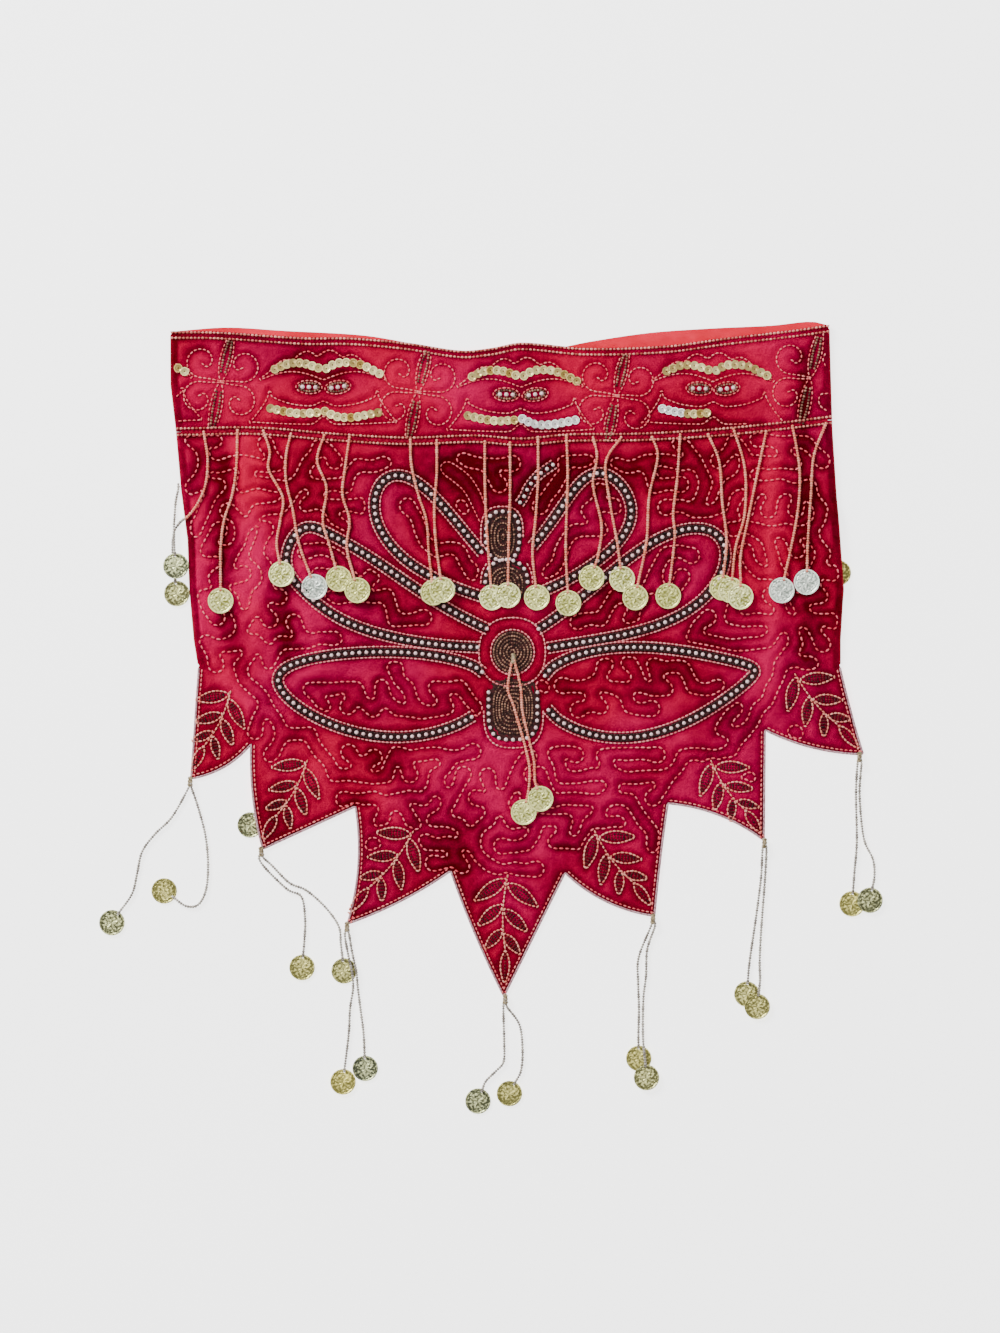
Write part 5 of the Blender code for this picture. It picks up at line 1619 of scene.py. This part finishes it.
def ribbon(name, lines, half_width, height, look):
    """A low sewn ribbon along lines of the plan, domed a little, lying on the front."""
    points, faces = [], []
    for line in lines:
        sides = [beside(line, half_width * part) for part in (-1.0, -0.75, 0.0, 0.75, 1.0)]
        rises = (0.0, height * 0.9, height, height * 0.9, 0.0)
        corners = [on_cloth(side, rise) for side, rise in zip(sides, rises)]
        corners += [on_cloth(sides[4], -0.3), on_cloth(sides[0], -0.3)]
        faces += tube_faces(len(points), len(line), len(corners))
        for section in zip(*corners):
            points += section
    return solid(name, points, faces, look)


def patches(name, ovals, height, look):
    """Low padded patches under the body's beads."""
    count = 32
    rows = ((1.0, -0.2), (0.97, height * 0.7), (0.85, height), (0.45, height * 1.15))
    points, faces = [], []
    for x, drop, half_width, half_height, squareness in ovals:
        faces += tube_faces(len(points), len(rows), count)
        for part, up in rows:
            ring = oval(x, drop, half_width * part, half_height * part, squareness, count)[:-1]
            points += list(on_cloth(ring, up))
    return solid(name, points, faces, look)


def front_outline():
    """The front of the skirt on the plan."""
    drops = np.linspace(66, FOLD_END, 60)
    left, right = side_folds(drops)
    xs = np.linspace(left[0], right[0], 200)
    return np.concatenate((np.stack((xs, seam_front(xs)), axis=1), np.stack((right, drops), axis=1),
                           front_hem()[::-1], np.stack((left, drops), axis=1)[::-1]))


def across_front(edge, down):
    """A line of the plan from fold to fold, some way down from an edge."""
    left, right = side_folds(edge(np.array((-222.0, 220.0))) + down)
    xs = np.linspace(left[0] + 0.9, right[1] - 0.9, 224)
    return np.stack((xs, edge(xs) + down), axis=1)


def hem_inset(away):
    """The hem's line, moved in from the edge."""
    hem = front_hem()
    corners = [np.flatnonzero(np.all(np.isclose(hem, row[:2]), axis=1))[0] for row in FRONT_HEM]
    return [beside(hem[start:end + 1], -away)[1:-1] for start, end in zip(corners, corners[1:])]


def on_both_sides(lines, away):
    """The lines beside lines of the plan, on both sides of each."""
    return [beside(line, side * away) for line in lines for side in (-1, 1)]


def wing_beadwork(lines):
    """The bands of the wings, with pearls between rows of dark beads and lines of gold ones."""
    band = ribbon("wing_bands", lines, WING_BAND / 2, 0.55, "dark thread")
    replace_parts(band, *WINGS)
    sewn("wing_pearls", lines, "pearls", PEARL, 3, 1.35)
    dark = [line[1:-1] for line in on_both_sides(lines, DARK_LINE)]
    sewn("wing_dark_beads", dark, "dark beads", DARK_BEAD, 4, 0.95)
    sewn("wing_gold_lines", on_both_sides(lines, GOLD_LINE), "pale beads", CLOSE_BEAD, 5)


def body_beadwork():
    """The padded body with its beads, and both feelers; gives their lines on the plan."""
    pads = patches("butterfly_pads", BODY_PADS, 0.5, "dark thread")
    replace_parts(pads, *BODY)
    fill = [oval(x, drop, half_width * part, half_height * part, squareness)
            for x, drop, half_width, half_height, squareness, rings in BODY_FILLS
            for part in np.linspace(1.0, 0.12, rings)]
    sewn("body_beads", fill, "bronze beads", FILL_BEAD, 8, 1.1)
    feeler, left_feeler = through(RIGHT_FEELER), through(LEFT_FEELER)
    cup = np.array([CUP_ENDS[0], *oval(*ABDOMEN_CUP)[:25], CUP_ENDS[1]])
    pearls = [oval(*sizes)[kept] for sizes, kept in BODY_PEARLS] + [cup, feeler]
    sewn("body_pearls", pearls, "pearls", PEARL, 9, 1.4)
    sewn("feeler_dark_beads", on_both_sides([feeler], 1.8), "dark beads", DARK_BEAD, 11, 0.8)
    gold = [oval(*sizes)[kept] for sizes, kept in BODY_GOLD] + [beside(feeler, 3.1), beside(feeler, -3.1)]
    sewn("body_gold_lines", gold, "pale beads", CLOSE_BEAD, 10, 0.6)
    sewn("left_feeler", [left_feeler], "rose gold beads", FINE_BEAD, 16, 0.6)
    return [*gold, left_feeler, *pearls, *fill]


def waistband_beadwork():
    """Crescents with sequins, lozenges of pearls and two-leaf figures; gives their lines on the plan."""
    gold, dark, pearls, sequins = [], [], [], []
    for number, (x, drop, size) in enumerate(CRESCENTS):
        for line in (closed(upper_crescent()), horned_crescent()):
            gold += in_band(turned(line * size, 0, x, drop))
        for across, tilt in LOZENGES if number > 0 else ():
            spot = (tilt, x + across * size, drop + 2.6)
            gold.append(turned(oval(0, 0, 8.8, 4.5), *spot))
            dark.append(turned(oval(0, 0, 6.8, 2.9), *spot))
            pearls.append(turned([(-4.4, 0.0), (4.4, 0.0)], *spot))
        sequins += sequin_rows(number, x, drop, size)
    for x, drop in LEAF_PAIRS:
        outlines, rows = leaf_pair(x, drop)
        gold += [part for line in outlines for part in in_band(line)]
        dark += rows
    sewn("waistband_figures", gold, "figure beads", FINE_BEAD, 12)
    sewn("waistband_dark_beads", dark, "bronze beads", DARK_BEAD, 13, 0.7)
    sewn("waistband_pearls", pearls, "pearls", LOZENGE_PEARL, 14, 1.1)
    return gold + dark, sequins


def sequin_rows(number, x, drop, size):
    """Places, ways and metal of the sequins of one pair of crescents; some of them have come off."""
    found = []
    for row in ROWS_LEFT[number]:
        line = through(np.array(SEQUIN_ROWS[row]) * size + (x, drop), SEQUIN_PITCH)
        way = np.gradient(line, axis=0)
        for n, place in enumerate(line):
            if place[0] >= side_folds(place[1])[0] + 2.4:
                silver = float(n < SILVER_SEQUINS.get((number, row), 0))
                found.append((place, way[n] / np.hypot(*way[n]), silver))
    return found


def lay_sequins(sequins):
    """Sequins overlapping along their rows like scales."""
    chance = np.random.default_rng(31)
    places = [(place[0], place[1], front_top(*place) + 1.0) for place, _, _ in sequins]
    ups = [(*(np.array((way[0], -way[1])) * 0.12 + chance.normal(0, 0.08, 2)), 1.0) for _, way, _ in sequins]
    ways = [(way[0], -way[1], 0.0) for _, way, _ in sequins]
    mesh = points_mesh("sequins", places, ups, ways, silver=[silver for *_, silver in sequins])
    forms("waistband_sequins", mesh, sequin_form(), "sequin film", 15)


def string_groups():
    """Each node of strings, and for each of its strings the places that it runs through and its coin."""
    groups = [("front_fringe", FRONT_FRINGE)]
    for name, (drop, strings) in TASSELS.items():
        head = (np.mean([points[0][0] for points, _ in strings]), drop)
        groups.append((name, tuple(((head, *points), coin) for points, coin in strings)))
    return groups + list(HIDDEN_STRINGS.items())


def hang(name, strings, chance, laid):
    """Lays and beads the strings of one node; gives their lines, and how each of their coins lies."""
    half = STRING_BEAD.thickness / 2
    hidden = name in HIDDEN_STRINGS
    lines, past, coins = [], [], []
    for points, coin in strings:
        line, way = laid_string(points, coin, laid)
        place, up, ahead = laid_coin(coin, way, chance, laid)
        if hidden:
            line[:, 2] = FLOOR + half
            place = (coin[0], coin[1], FLOOR + COIN_THICKNESS / 2)
        else:
            line[-7:, 2] = np.linspace(line[-7, 2], max(place[2] + 0.6, half + CLEAR), 7)
            laid += [(x, drop, z + half, half) for x, drop, z in line]
            laid.append((*place[:2], place[2] + COIN_THICKNESS, COIN_RADIUS))
        lines.append(line)
        # past marks beads and coins past the cloth's edge, which their finishes give painted shade.
        past.append([float(top_at(*bead[:2]) < 0.1 or hidden) for bead in line])
        silver = float(any(math.dist(coin, other) < 1 for other in SILVER_COINS))
        coins.append((place, up, ahead, silver, past[-1][-1]))
    mesh = lines_mesh(name, lines)
    store(mesh, "past", smooth(np.concatenate(past)))
    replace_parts(beads(name + "_strings", mesh, "string beads", STRING_BEAD, 30 + len(name)), name)
    return lines, coins


def hanging():
    """The fringe and every tassel: strings of beads, their coins and bound heads."""
    chance = np.random.default_rng(21)
    coins, heads, laid = [], [], []
    tape = through([(x, seam_front(x)) for x in np.linspace(-219, 220, 60)], 2.0)
    ribbon("fringe_heading", [tape], 1.5, 0.4, "crimson tape")
    for name, strings in string_groups():
        lines, ends = hang(name, strings, chance, laid)
        coins += ends
        if name.startswith(("hem", "centre")):
            start = np.mean([line[0] for line in lines], axis=0)
            way = (np.mean([line[6] for line in lines], axis=0) - start) * (1, -1, 0)
            heads.append((start + (0, 0, KNOT_LIFT), (0, 0, 1), way / np.linalg.norm(way)))
    places, ups, ways, silver, past = zip(*coins)
    mesh = points_mesh("coins", places, ups, ways, silver=silver, past=past)
    forms("coins", mesh, coin_form(), "stamped metal", 17)
    forms("tassel_heads", points_mesh("knots", *zip(*heads)), knot_form(), "gold thread", 18, True)


def make_stage():
    """A pale floor, soft studio light and the camera straight above."""
    mesh = bpy.data.meshes.new("floor")
    corners = [(-5, -5, -0.0004), (5, -5, -0.0004), (5, 5, -0.0004), (-5, 5, -0.0004)]
    mesh.from_pydata(corners, [], [(0, 1, 2, 3)])
    mesh.materials.append(LOOKS["pale floor"])
    floor = bpy.data.objects.new("floor", mesh)
    bpy.context.scene.collection.objects.link(floor)
    lamp("key", (-1.5, 1.7, 1.6), 1.0, 96.0)
    lamp("overhead", (0.25, 0.15, 2.9), 1.6, 22.0)
    world = bpy.data.worlds.new("studio")
    world.use_nodes = True
    sky = world.node_tree.nodes["Background"]
    sky.inputs["Color"].default_value = (1.0, 0.99, 0.98, 1.0)
    sky.inputs["Strength"].default_value = 0.45
    bpy.context.scene.world = world
    lens = bpy.data.cameras.new("camera")
    lens.lens, lens.sensor_width = 100.0, 36.0
    camera = bpy.data.objects.new("camera", lens)
    camera.location = (0.0062, 0.0350, 2.520)
    bpy.context.scene.collection.objects.link(camera)
    bpy.context.scene.camera = camera


def lamp(name, place, size, power):
    """A square soft box aimed at the middle of the garment."""
    light = bpy.data.lights.new(name, "AREA")
    light.size, light.energy = size, power
    box = bpy.data.objects.new(name, light)
    box.location = place
    box.rotation_euler = (-Vector(place)).to_track_quat("-Z", "Y").to_euler()
    bpy.context.scene.collection.objects.link(box)


def leaf_sprigs():
    """The leaf sprigs; gives the lines of their outlines on the plan."""
    gold, dark = [sum(lines, []) for lines in zip(*[sprig(*places) for places in SPRIGS])]
    sewn("leaf_sprigs", gold, "gold beads", CLOSE_BEAD, 22)
    sewn("leaf_sprig_veins", dark, "maroon beads", DARK_BEAD, 23)
    return gold


def edge_rows():
    """Rows of beads along the waistband's top edge, the seam and the hem; gives their lines on the plan."""
    top = [across_front(lambda x: read(WAIST_FRONT, x), down) for down in TOP_ROWS]
    seam = [across_front(seam_front, down) for down in (-SEAM_ROWS, SEAM_ROWS)]
    hem = hem_inset(HEM_INSET)
    rows = [on_cloth(line) for line in top] + [on_cloth(line, 1.0) for line in seam]
    beads("edge_rows", lines_mesh("edge_rows", rows), "row beads", ROW_BEAD, 24)
    sewn("hem_row", hem, "figure beads", FINE_BEAD, 25)
    return [*top, *seam, *hem]


def main():
    make_finishes()
    TREES.update(beads=bead_tree(), forms=standing_tree(), cord=cord_tree())
    make_stage()
    wings = [wing_line(*sizes) for sizes in WINGS.values()]
    wing_beadwork(wings)
    body_lines = body_beadwork()
    band_lines, sequins = waistband_beadwork()
    lay_sequins(sequins)
    sprig_lines = leaf_sprigs()
    rows = edge_rows()

    outline = front_outline()
    bands = [beside(line, side * GOLD_LINE) for line in wings for side in (-1, 0, 1)]
    work = np.concatenate([outline, *bands, *[evenly(line, 2.0) for line in body_lines + sprig_lines]])
    wandering, enclosed = wandering_lines(work, outline)
    sewn("wandering_line", wandering, "rose gold beads", SEED_BEAD, 26)

    lines = np.concatenate([*wandering, work, *[evenly(line, 2.0) for line in band_lines], *rows,
                            [place for place, *_ in sequins]])
    skirt, band = skirt_outline(), band_outline()
    skirt_cloth = cloth_piece("skirt_cloth", skirt, lines, enclosed)
    band_cloth = cloth_piece("waistband_cloth", band, lines, enclosed)
    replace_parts(skirt_cloth, "skirt")
    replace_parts(band_cloth, "waistband")
    for piece in (skirt_cloth, band_cloth, bpy.data.objects["wing_bands"], bpy.data.objects["butterfly_pads"],
                  bpy.data.objects["wing_pearls"]):
        lay(piece)
    hem = front_hem()
    piping = lines_mesh("hem_piping", [np.column_stack((hem, front_height(*hem.T) + 0.35))])
    grown("hem_piping", piping, TREES["cord"], "grey thread", Thickness=PIPING * MM, Sides=6)
    hanging()


main()
